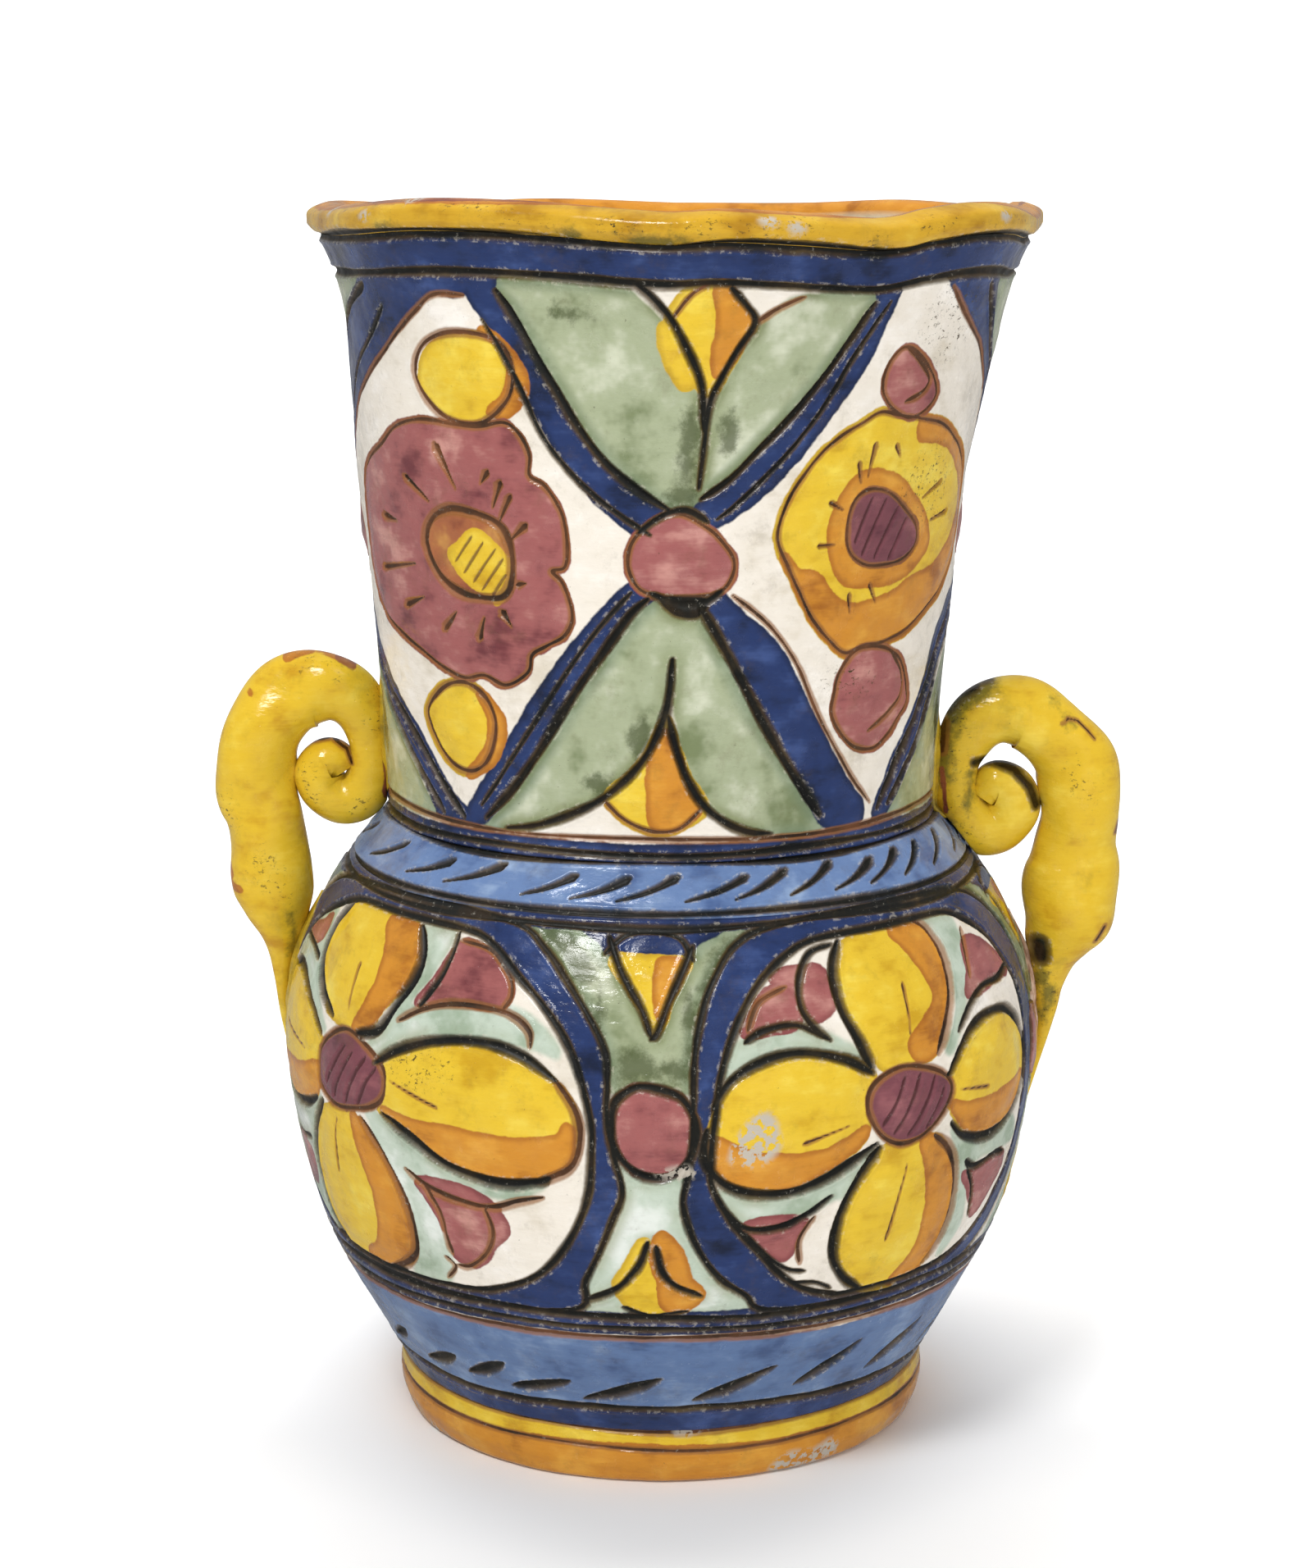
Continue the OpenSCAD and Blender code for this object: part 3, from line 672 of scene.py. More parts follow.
def paint_low_band(wall):
    """The blue band under the flowers, with its leaf-shaped cuts."""
    wall.band("sky", 17, 36, 0.2, 41)
    wall.band("navy", 10, 17.2, 0.3, 42)
    wall.band("navy", 37.8, 43.2, 0.3, 43)
    wall.ring_cut(17.4, 2.2, 0.8, seed=44)
    wall.ring_cut(36.6, 1.8, 0.5, "brown", seed=45)
    wall.ring_cut(38.9, 1.6, 0.7, seed=46)
    wall.ring_cut(41.6, 2.0, 0.8, seed=47)
    front = [((-66, 21), (-57, 25.5)), ((-53, 20), (-42, 24.5)), ((-40, 21), (-30, 26)),
             ((-30, 20), (-17, 24)), ((-15, 19.5), (0, 26)), ((6, 20), (21, 27.5)),
             ((26, 21.5), (38, 30)), ((43, 21), (55, 29.5))]
    rng = np.random.default_rng(48)
    rest = [((a, 20.5 + rng.uniform(-0.7, 0.7)), (a + rng.uniform(9.5, 12.5), 26.5))
            for a in range(62, 286, 16)]
    leaning_cuts(wall, front + rest, 3.4, 1.0, "leaf")
    wall.fill("pool_and_shade", [(21.5, 30), (22.2, 30), (23, 25), (23.2, 22), (22.2, 23)])


# ---- Decoration of the belly ----

def ring(pen, outer, inner):
    """A navy ring with a groove along both its edges."""
    pen.fill("navy", outer, inner)
    pen.cut(outer, 1.7, 0.65, closed=True)
    pen.cut(inner, 1.9, 0.7, closed=True)


def left_ring(pen):
    """The ring round the left flower."""
    ring(pen, [(-7.6, 92), (-8, 98), (-10.5, 104), (-14.5, 110.5), (-19, 116), (-26, 120), (-48, 121),
               (-70, 120), (-80, 117), (-88, 110), (-92, 101), (-94, 90), (-94, 78), (-92, 68),
               (-88, 58), (-81, 49), (-72, 43.5), (-60, 42.5), (-37, 42.3), (-14, 43), (-11.5, 50),
               (-9, 57), (-7, 64), (-5.5, 70), (-6.5, 77), (-7.6, 85)],
         [(-9.9, 84), (-11.5, 93), (-14, 100), (-18, 106), (-23, 111), (-28, 115.5), (-34, 117.5),
          (-50, 117.8), (-62, 117.5), (-70, 114.5), (-78, 109), (-84, 101), (-87, 92), (-88, 82),
          (-87, 72), (-83, 62), (-76, 53), (-68, 46.5), (-58, 44.3), (-44, 43.9), (-31, 44.5),
          (-25, 46.5), (-19, 50.5), (-15, 56), (-12, 63), (-10.3, 70), (-9.8, 78)])


def right_ring(pen):
    """The ring round the right flower."""
    ring(pen, [(4.6, 96), (5.5, 103), (7.5, 110), (12, 117), (20, 120), (40, 121), (60, 120), (68, 117),
               (73.5, 110), (76, 102), (77, 92), (77, 80), (76, 70), (73.5, 60), (69, 51), (62, 44),
               (55, 42), (35, 42), (17, 42.5), (13, 46.5), (9, 50.5), (6, 56), (4, 62), (3, 68),
               (3.5, 73), (4.2, 80), (4.4, 88)],
         [(8, 90), (8.5, 94), (10, 100), (12, 105), (15, 110), (20, 114.5), (26, 116.8), (40, 117.3),
          (54, 117), (60, 114.5), (65, 110), (68, 104), (70, 97), (71, 88), (71, 78), (70, 68),
          (68, 60), (63, 52.5), (57, 47), (48, 44.3), (31, 43.8), (27, 44.5), (22, 47), (18, 51),
          (15, 55.5), (12, 60), (9, 66), (7, 72), (7, 80)])


def left_petals(pen):
    """The four yellow petals on the left of the belly."""
    pen.petal("yellow", [(-51, 94.5), (-48, 97), (-45.5, 101), (-42.5, 107), (-41.5, 112),
                         (-43.5, 115.8), (-50, 116.3), (-58, 116.3), (-63, 116), (-65.5, 112),
                         (-65.5, 107), (-63, 101.5), (-60, 97), (-57, 95.5)])
    pen.fill("orange", [(-51.5, 95), (-48, 97), (-45.5, 101), (-42.5, 107), (-41.3, 112),
                        (-43.5, 115.8), (-50.5, 116), (-48.5, 112), (-47.8, 107), (-49, 101)])
    pen.cut([(-51, 94), (-46, 96), (-43.5, 101), (-41, 107), (-40.8, 112), (-43, 116.5)])
    pen.cut([(-58, 95.5), (-63, 99.5), (-66.5, 105), (-66.5, 112), (-64, 116.5)])
    pen.petal("yellow", [(-45, 88.5), (-40, 92.5), (-34, 95.5), (-27, 96.8), (-21, 95.5), (-16, 92),
                         (-12.8, 87), (-12.5, 81), (-14, 75.5), (-18, 72), (-24, 71), (-31, 73),
                         (-38, 77), (-43, 79.5), (-45, 83)])
    pen.fill("orange", [(-43.5, 80.5), (-38, 79.5), (-31, 79.8), (-22, 79.2), (-15, 80.5), (-13.2, 83),
                        (-12.6, 81), (-13.5, 76), (-17, 72.3), (-24, 71.3), (-31, 73.2), (-38, 77)])
    pen.cut([(-46, 89.5), (-41, 93.5), (-34, 96.8), (-26, 97.8), (-20, 96), (-15, 92)])
    pen.cut([(-15, 92), (-12, 86), (-11.5, 80), (-13, 74.5), (-18, 71)], 2.2, 0.9, "brown")
    pen.cut([(-16, 72), (-18, 71), (-24, 70), (-32, 72), (-38, 76), (-44, 79.5)])
    pen.petal("yellow", [(-56, 76.5), (-51, 77), (-47, 73), (-44, 67), (-42, 60), (-41.5, 53),
                         (-43, 48.5), (-47, 45.5), (-55, 45), (-61, 45.5), (-65, 49.5), (-66, 56),
                         (-65, 63), (-62, 70), (-59.5, 75)])
    pen.fill("orange", [(-51, 77), (-47, 73), (-44, 67), (-42, 60), (-41.5, 53), (-43, 48.5),
                        (-47, 45.5), (-54, 45.5), (-50, 49), (-48, 54), (-47.5, 61), (-49, 68)])
    pen.cut([(-60, 77), (-64, 70), (-66.5, 62), (-67, 54), (-65, 48), (-61, 45)])
    pen.cut([(-49, 77), (-45, 71), (-42, 64), (-40.8, 56), (-41.5, 50), (-45, 46), (-49, 44)],
            2.4, 0.9, "brown")
    pen.petal("yellow", [(-61, 90), (-66, 94.5), (-72, 98.5), (-78, 99.5), (-84, 96), (-86, 90),
                         (-86, 82), (-82, 76), (-75, 73.5), (-68, 75), (-62, 78.5), (-61, 84)])
    pen.fill("orange", [(-61, 84), (-62, 78.5), (-68, 75), (-75, 73.5), (-82, 76), (-84, 79),
                        (-76, 80.5), (-68, 81.5)])
    pen.cut([(-61, 91), (-66, 95.5), (-73, 100), (-80, 100), (-85.5, 95.5), (-87, 87), (-85, 78),
             (-80, 73.5), (-74, 72.5), (-67, 74), (-62, 77)])
    seeds(pen, [((-53.5, 107), (-53.5, 98)), ((-33, 83.8), (-42, 87)), ((-57, 63), (-55.5, 75)),
                ((-78, 88), (-66, 86))], 1.0, 0.35)
    pen.fill("speckle", blob(-37, 91, 6, 4))


def right_petals(pen):
    """The four yellow petals on the right of the belly."""
    pen.petal("yellow", [(33.5, 92), (30.5, 98), (28.5, 104), (28, 110), (30.5, 115), (36, 116),
                         (44, 116.3), (48, 114.5), (49.5, 110), (48.5, 104), (46, 98), (43, 92.5),
                         (38.5, 91.5)])
    pen.fill("orange", [(40.5, 116), (44, 116.3), (48, 114.5), (49.5, 110), (48.5, 104), (46, 98),
                        (43, 92.5), (40, 92), (38.5, 95), (41, 98), (45, 102), (44.5, 107), (42.5, 112)])
    pen.cut([(31.5, 92), (29.5, 98), (27.5, 104), (27.3, 111), (29.5, 116)])
    pen.cut([(44, 92), (47, 98), (49.5, 104), (50.3, 110), (48.5, 115.5), (46, 117.5)], 2.3, 0.9, "brown")
    pen.petal("yellow", [(8.2, 87), (9.5, 91), (13.5, 94.5), (18, 96), (23, 95.5), (28, 93.5), (31, 91),
                         (30.5, 86), (30, 80), (28, 76.5), (23, 73), (18, 70.5), (13, 70), (9.5, 72.5),
                         (7.5, 77), (7, 82)])
    pen.fill("orange", [(30, 80), (28, 76.5), (23, 73), (18, 70.5), (13, 70), (9.5, 72.5), (7.5, 77),
                        (7, 81), (12, 78), (18, 76.5), (24, 76.8)])
    pen.cut([(31.5, 91), (27, 94.5), (20, 96.8), (14, 95.5), (9.5, 92), (7.2, 87)])
    pen.cut([(6.3, 83), (6, 77), (8.5, 72), (13, 69.3), (19, 69), (25, 71.5), (32, 76.5)])
    pen.petal("yellow", [(46.5, 86), (49, 90), (53, 93.5), (58, 95), (63, 94), (67, 90), (68.5, 84),
                         (67.5, 77), (63, 73), (57, 71.8), (51, 74), (47.5, 78), (46, 82)])
    pen.fill("orange", [(46.5, 80.5), (50, 79.5), (56, 79), (63, 79.5), (68, 80), (66.5, 76),
                        (62, 72.8), (56, 72), (51, 74)])
    pen.cut([(46, 87), (49, 91.5), (53, 95), (58, 96.2), (64, 95), (68.5, 90), (70, 84), (68.5, 76),
             (64, 72), (57, 70.6), (50, 73), (46.5, 77)])
    pen.petal("yellow", [(33, 75), (37.5, 74.5), (42.5, 75), (46, 71.5), (48.5, 65), (49.5, 58),
                         (48.5, 51), (45, 46), (39, 44), (33, 44.5), (29.5, 48.5), (27.3, 54.5),
                         (27.2, 61), (29, 68)])
    pen.fill("orange", [(40.5, 75), (42.5, 75), (46, 71.5), (48.5, 65), (49.5, 58), (48.5, 51),
                        (45, 46), (39, 44), (41, 47.5), (43, 52), (43.3, 60), (42, 68)])
    pen.cut([(32.5, 75.5), (29, 69), (26.8, 62), (26.5, 54), (29, 48), (33, 44)])
    pen.cut([(43, 75.5), (47, 71), (49.5, 64), (50.3, 57), (49, 50.5), (46, 46)], 2.3, 0.9, "brown")
    seeds(pen, [((39, 106.5), (38.5, 97)), ((20, 79), (27, 81.5)), ((55, 82), (48, 83.5)),
                ((35.5, 55), (37.5, 71))], 1.0, 0.35)
    pen.fill("worn", [(9.5, 77), (12, 84), (15, 85.5), (16.5, 80), (14, 76)])
    pen.fill("worn", [(-0.5, 74), (2, 75.8), (4.4, 74.5), (2.5, 73)])


def flower_centres(pen):
    """The mauve middle of each flower on the belly, raised and hatched."""
    left = [(-61, 84), (-60.5, 88.5), (-57, 92.5), (-53, 94), (-48, 92), (-44, 88.5), (-43.5, 84),
            (-46, 80.5), (-51, 78.5), (-56, 77.5), (-60, 80)]
    right = [(30.5, 84), (31.5, 88.5), (36, 91), (41, 90), (45, 87.5), (46.5, 84), (44, 79),
             (40, 75.8), (36, 75.5), (32.5, 78.5)]
    for centre in (left, right):
        pen.petal("plum", centre, 0.9)
        pen.cut(centre, 1.6, 0.5, "brown", closed=True)
    hatch(pen, [((-57.5, 82), (-53, 91)), ((-56, 79.5), (-51, 90)), ((-53, 79), (-48, 90)),
                ((-50, 79.5), (-45.5, 88.5)), ((33, 80), (37, 89)), ((35, 78), (40, 89)),
                ((37.5, 77), (43, 88)), ((41, 77.5), (44.5, 85))], 1.3, 0.5)


def left_leaves(pen):
    """The mauve leaves and mint washes round the left flower."""
    pen.fill("mauve", [(-39, 103), (-37, 107), (-35.5, 111.5), (-34, 114.8), (-31, 115.2), (-27, 113.5),
                       (-24, 110.5), (-23, 107), (-24.5, 104.8), (-28, 104.5), (-33, 104.3)])
    pen.cut([(-42, 99), (-38, 102), (-33, 104), (-27, 104.3), (-22.5, 103.5), (-19.5, 101),
             (-19, 98)], 1.9, 0.7, "brown")
    pen.cut([(-38.5, 102.5), (-36, 108), (-35, 113), (-35, 117)], 1.4, 0.5)
    pen.cut([(-34, 115.5), (-28, 114.5), (-24, 110.5), (-23, 107), (-24, 104.5)], 1.4, 0.5, "brown")
    pen.fill("mauve", [(-38, 67), (-34, 68), (-29, 67.5), (-26, 66), (-24, 63.5), (-23, 59.5),
                       (-25.5, 56), (-27, 53), (-30, 50.5), (-33, 52), (-34, 57), (-35.5, 62)])
    pen.cut([(-40, 69), (-36, 66), (-30, 64.5), (-25, 64.5), (-21, 66.5), (-17, 68)], 1.9, 0.7, "brown")
    pen.cut([(-37, 66.5), (-34.5, 61), (-34, 55), (-33.5, 52)], 1.4, 0.5, "brown")
    pen.cut([(-26.5, 64.5), (-25.5, 59), (-27, 54), (-30.5, 50), (-33, 49.5)], 1.4, 0.5, "brown")
    pen.cut([(-35, 51), (-33.5, 49), (-35.5, 46)], 1.2, 0.5, "brown")
    pen.fill("mauve", [(-70, 112), (-73, 110), (-78, 107.5), (-74, 106), (-70, 108)])
    pen.cut([(-68, 104), (-73, 105.5), (-80, 106)], 1.5, 0.5)
    pen.fill("mauve", [(-70, 62), (-75, 63.5), (-79, 62), (-77, 57), (-73, 54), (-70.5, 57)])
    pen.cut([(-68, 66), (-73, 64.5), (-81, 64)], 1.5, 0.5)
    pen.fill("pale", [(-42, 117), (-36, 117), (-37.5, 110), (-40.5, 103), (-38, 102), (-30, 104.5),
                      (-22, 104.5), (-17, 101), (-15, 97), (-20, 98.5), (-30, 99), (-38, 97),
                      (-44, 91.5), (-48, 91), (-46, 95), (-41, 105)])
    pen.fill("pale", [(-47, 79), (-43, 78), (-38, 75.5), (-30, 72), (-22, 70), (-17, 71.5), (-21, 67.5),
                      (-28, 68), (-34, 67), (-40, 70.5), (-37, 65), (-34, 58), (-34, 51), (-36, 45),
                      (-42, 44.5), (-40, 52), (-41, 62), (-44, 71)])
    pen.fill("pale", [(-60, 92), (-63, 96.5), (-67, 103), (-68.5, 111), (-70, 115), (-76, 110),
                      (-82, 103), (-78, 101), (-70, 99.5), (-64, 96)])
    pen.fill("pale", [(-60, 77), (-64, 72), (-67, 62), (-67, 52), (-66, 46), (-75, 53), (-83, 64),
                      (-85, 73), (-75, 74), (-66, 76)])


def right_leaves(pen):
    """The mauve leaves and mint washes round the right flower."""
    pen.fill("mauve", [(12, 101), (13.5, 105), (16, 108.5), (19, 108.8), (20.5, 105.5), (20, 102),
                       (16, 101.3)])
    pen.fill("mauve", [(17, 110.5), (20, 112), (22.5, 112), (25, 111.5), (27, 107), (25, 103.5),
                       (22.5, 103), (21, 107)])
    pen.cut([(12, 99.5), (15, 101.5), (20, 102), (24.5, 99)], 1.8, 0.7)
    pen.cut([(12.5, 101.5), (14.5, 106.5), (19, 109)], 1.4, 0.5, "brown")
    pen.cut([(28, 115.5), (24, 114.5), (21.5, 110.5), (21, 105.5), (22.5, 101.5), (25, 98.5)], 1.8, 0.7)
    pen.fill("mauve", [(11.5, 61.5), (14, 63.5), (18, 63.5), (21, 62.5), (20, 58.5), (18.5, 54.5),
                       (15.5, 57)])
    pen.cut([(8.5, 67), (12, 62), (17, 61.5), (21, 63.5), (25, 67)], 1.8, 0.7)
    pen.cut([(12, 61), (15.5, 55.5), (19, 52), (22, 51)], 1.3, 0.5)
    pen.cut([(22.5, 63), (20.5, 58), (21, 53)], 1.3, 0.5, "brown")
    pen.cut([(20, 48.5), (24, 48), (27, 46)], 1.2, 0.4)
    pen.fill("mauve", [(53, 101), (55, 105), (57, 110.5), (61, 110), (65.5, 106), (67, 102),
                       (62, 101.5), (57, 101)])
    pen.cut([(49, 95), (53, 99), (58, 101.5), (64, 101.5), (68, 103)], 1.8, 0.7)
    pen.cut([(55, 104), (57, 110), (58, 113)], 1.3, 0.5, "brown")
    pen.fill("mauve", [(51.5, 64), (55, 63), (60, 64.5), (64, 64.5), (65.5, 60.5), (62, 56),
                       (58, 52.5), (56, 56), (54, 60)])
    pen.cut([(51.5, 67), (55, 64.5), (61, 65), (65, 64)], 1.8, 0.7)
    pen.cut([(52.5, 65), (55, 60), (56.5, 53)], 1.3, 0.5)
    pen.fill("pale", [(49.5, 117), (55, 117), (56.5, 112), (54, 105), (50, 97.5), (47, 92), (46, 93),
                      (49, 98), (51, 105), (51.5, 111)])
    pen.fill("pale", [(9.5, 93), (10, 98), (14, 101), (20, 101.5), (25, 99), (30, 94), (27, 94.5),
                      (20, 97), (14, 96)])
    pen.fill("pale", [(8, 70), (13, 68.5), (19, 68), (25, 70.5), (31, 75), (28, 68), (25, 66.5),
                      (20, 64.5), (12, 64), (9, 67)])
    pen.fill("pale", [(47, 76), (52, 72.5), (58, 70), (66, 71), (68, 66), (60, 66.5), (54, 66),
                      (53, 60), (54, 52), (50, 47), (50.5, 56), (49.5, 66)])


def between(pen):
    """The mauve oval, mint leaves and yellow buds between two rings of the belly."""
    oval = [(-7, 84), (-6.5, 88.5), (-3.5, 91.5), (0, 91), (3, 89), (4.8, 84), (4.2, 78), (1.5, 74),
            (-2, 73.5), (-5, 76), (-6.8, 80)]
    pen.petal("mauve", oval, 0.8)
    pen.cut(oval, 2.2, 0.8, closed=True)
    pen.fill("mint", [(-22, 119.8), (-9, 120), (-8, 115), (-6, 110), (-3, 104.5), (-1.5, 101.5), (0, 103),
                      (2, 108), (5, 113), (7, 120), (19, 119.8), (12, 116), (7.5, 110), (5.5, 103),
                      (4.5, 96), (4, 91), (-1, 92), (-7, 91), (-8, 98), (-10.5, 104), (-14.5, 110.5)])
    pen.fill("pool_and_shade", [(-6.5, 92.5), (-5, 98), (-1, 97), (3.5, 96), (4, 92.5), (0, 93)])
    pen.fill("pool_and_shade", [(-20, 119), (-14, 118), (-10.5, 112), (-11.5, 110.5), (-15, 114)])
    pen.fill("pool_and_shade", [(16, 119), (10, 117.5), (6, 110), (7, 109.5), (11, 114.5)])
    pen.fill("pool_and_shade", blob(-9.2, 104, 0.8, 6))
    pen.fill("pool_and_shade", blob(4.2, 103, 0.6, 5))
    pen.fill("navy", [(-12, 120), (-10, 117.4), (-8, 115.4), (-2, 115.2), (3.5, 115.4), (6, 117.5),
                      (9, 120)])
    pen.petal("yellow", [(-7.2, 114.4), (-5, 110.5), (-2.5, 106), (-1, 102.5), (0, 104), (1, 108),
                         (3, 112), (3.6, 114.2), (-2, 114.6)])
    pen.fill("orange", [(0, 114.2), (3.4, 114), (3, 112), (1, 108), (0, 104.5), (-0.6, 109)])
    pen.cut([(-8.5, 118.5), (-6, 112), (-3, 106), (-1.5, 101)], 2.0)
    pen.cut([(5, 117), (3, 112), (1, 107), (-0.5, 102), (-1.5, 100.5)], 2.0)
    pen.cut([(-9, 115.5), (-6, 118.8), (-2, 119.6), (3, 118.5), (5, 114.5)], 1.5, 0.5)
    pen.fill("pale", [(-6, 75), (4, 75), (3, 68), (4, 62), (6, 56), (9, 50.5), (13, 46.5), (15, 44),
                      (-13, 43.8), (-11.5, 50), (-9, 57), (-7, 64)])
    pen.petal("yellow", [(-2.5, 59.5), (-5, 53.5), (-6.5, 50), (-5, 45.5), (-2, 43.5), (1, 45),
                         (0.5, 50), (-1.5, 52)])
    pen.fill("orange", [(-0.5, 60.5), (1, 60.5), (3, 56), (4, 51), (6, 47.5), (3, 44), (0.5, 45),
                        (0, 50.5), (-1, 55)])
    pen.cut([(-2, 59.5), (-3, 55), (-4.5, 52), (-7, 48.5), (-12, 45.5)], 1.9, 0.7)
    pen.cut([(-0.8, 58.5), (0, 53), (2, 49.5), (6, 47)], 1.9, 0.7)
    pen.cut([(-6, 44.5), (-2, 42.5), (4, 43.5)], 1.2, 0.4)


def paint_belly(wall):
    """All of the belly: bands, rings, flowers, and what lies between the rings."""
    paint_low_band(wall)
    wall.band("navy", 119.6, 124, 0.3, 51)
    wall.ring_cut(120.0, 1.8, 0.8, seed=52)
    for turn in (0, 83, 180, 263):
        between(Turned([wall], turn, 0.3 if turn else 0, turn + 7))
    for turn in (0, 180):
        pen = Turned([wall], turn, 0.35 if turn else 0, turn + 8)
        left_leaves(pen)
        right_leaves(pen)
        left_ring(pen)
        right_ring(pen)
        left_petals(pen)
        right_petals(pen)
        flower_centres(pen)


def paint_foot(wall):
    """Orange round the floor line, under the yellow of the foot's own glaze."""
    wall.band("orange", -5, 7.6, 0.25, 61)
    wall.ring_cut(7.8, 1.2, 0.4, "brown", seed=62)
    wall.ring_cut(12.0, 1.6, 0.6, "brown", seed=63)
    wall.fill("worn", [(24, 0.6), (27, 4.2), (33, 3.8), (38, 5.0), (40, 2.2), (34, 0.2)])
    wall.fill("worn", [(3, 11.6), (5, 12.4), (8, 12), (6, 11.2)])
    wall.fill("worn", [(-62, 0.4), (-60, 1.8), (-54, 1.2), (-56, 0.3)])


def paint_lip(wall):
    """Orange and rust on the edge above the lip's own yellow, with specks, dirt and chips."""
    wall.ring_cut(251.6, 2.0, 0.5, seed=71)
    top = wall.z[-1]
    wall.band("orange", top - 0.2, top + 5, 0.8, 72)
    wall.band("rust", top + 0.1, top + 5, 0.5, 73)
    rng = np.random.default_rng(74)
    for a in np.arange(-178, 180, 9.0):
        wide = rng.uniform(1.5, 5)
        specks = blob(a + rng.uniform(-4, 4), top - rng.uniform(0, 5.5), wide, rng.uniform(0.4, 1.6))
        wall.fill("speckle", specks)
        if rng.uniform() < 0.35:
            dirt = blob(a + rng.uniform(-4, 4), NECK_TOP + 0.6, wide * 0.7, rng.uniform(0.3, 1.0))
            wall.fill("pool_and_shade", dirt)
        if rng.uniform() < 0.3:
            wall.fill("worn", blob(a + rng.uniform(-4, 4), top - rng.uniform(0, 3), 1.2, 0.8))


# ---- Meshes ----

def grid_mesh(name, points, closed_rows, first_pole=None, last_pole=None, layers=None):
    """A mesh from rows of columns, all closed across, with float layers on its points.

    points is rows by columns by xyz. closed_rows joins the last row to the first. A pole is a
    single point that closes an end.
    """
    rows, cols = points.shape[:2]
    i = np.arange(rows if closed_rows else rows - 1)[:, None]
    j = np.arange(cols)[None, :]
    i2, j2 = (i + 1) % rows, (j + 1) % cols
    quads = np.stack([i * cols + j, i * cols + j2, i2 * cols + j2, i2 * cols + j], -1).reshape(-1, 4)
    verts = [points.reshape(-1, 3)]
    count = rows * cols
    corners = [quads.ravel()]
    sizes = [np.full(len(quads), 4)]
    for pole, row, flip in ((first_pole, 0, True), (last_pole, rows - 1, False)):
        if pole is None:
            continue
        a, b = row * cols + j[0], row * cols + j2[0]
        tip = np.full(cols, count)
        corners.append((np.stack([tip, b, a], -1) if flip else np.stack([a, b, tip], -1)).ravel())
        sizes.append(np.full(cols, 3))
        verts.append(np.array([pole]))
        count += 1
    sizes = np.concatenate(sizes)
    mesh = bpy.data.meshes.new(name)
    mesh.vertices.add(count)
    mesh.vertices.foreach_set("co", np.concatenate(verts).astype(np.float32).ravel())
    mesh.loops.add(int(sizes.sum()))
    mesh.loops.foreach_set("vertex_index", np.concatenate(corners).astype(np.int32))
    mesh.polygons.add(len(sizes))
    starts = np.concatenate([[0], np.cumsum(sizes)[:-1]]).astype(np.int32)
    mesh.polygons.foreach_set("loop_start", starts)
    for key, values in (layers or {}).items():
        data = np.full(count, FAR, np.float32)
        data[:rows * cols] = values.ravel()
        layer = mesh.attributes.new(key, "FLOAT", "POINT")
        layer.data.foreach_set("value", data)
    mesh.update(calc_edges=True)
    mesh.validate()
    mesh.shade_smooth()
    piece = bpy.data.objects.new(name, mesh)
    bpy.context.scene.collection.objects.link(piece)
    return piece


def wall_points(wall):
    """The carved and hand-worked outside of a wall, in metres."""
    slope = np.gradient(wall.r, wall.z)
    inner = np.minimum(wall.z - wall.z[0], wall.z[-1] - wall.z)
    share = ease(inner / 1.5)
    nr = 1 / np.sqrt(1 + slope ** 2)
    nz = -slope * nr * share
    relief = wall.relief()
    r = wall.r[:, None] + relief * (nr * share + (1 - share))[:, None]
    z = wall.z[:, None] + relief * nz[:, None]
    return placed(wall.angle[None, :], r, z)


def turned_piece(name, wall, rest, poles, node, material, over=None):
    """Closes a painted wall with the rest of its section and puts it in the frame.

    rest is a list of (radius, height, inside) and goes on from the wall's top edge. poles are
    the heights of the end points on the axis, lower then upper, or None for a ring. over is
    the colour painted on the rest.
    """
    outside = wall_points(wall)
    rows = []
    for r, z, _ in rest:
        worked = r + 0.25 * lumps(wall.angle, z, 81, 40) + 0.1 * math.sin(z * 1.3)
        rows.append(placed(wall.angle, worked if r > 5 else np.full(wall.columns, float(r)), z))
    points = np.concatenate([outside, np.array(rows)])
    layers = {}
    for key in COLOURS:
        off = np.full((len(rest), wall.columns), -2 if key == over else FAR, np.float32)
        layers[key] = np.concatenate([wall.colour[key], off])
    depth = np.zeros((len(rest), wall.columns), np.float32)
    layers["depth"] = np.concatenate([wall.groove, depth])
    inside = np.repeat(np.array([[float(k)] for _, _, k in rest], np.float32), wall.columns, 1)
    layers["inside"] = np.concatenate([np.zeros_like(wall.groove), inside])
    if poles is None:
        piece = grid_mesh(name, points, True, layers=layers)
    else:
        low_pole, high_pole = [(0, 0, z * MM) for z in poles]
        piece = grid_mesh(name, points, False, low_pole, high_pole, layers)
    return dress(piece, node, material)


def plain_layers(shape):
    """Layers of a piece that has no paint, no cuts and no inside."""
    layers = {key: np.full(shape, FAR, np.float32) for key in COLOURS}
    layers["depth"] = np.zeros(shape, np.float32)
    layers["inside"] = np.zeros(shape, np.float32)
    return layers


def dress(piece, node, material):
    """Gives a piece its material and its place in the frame."""
    piece.data.materials.append(material)
    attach(piece, "root")
    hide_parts(node)
    return piece


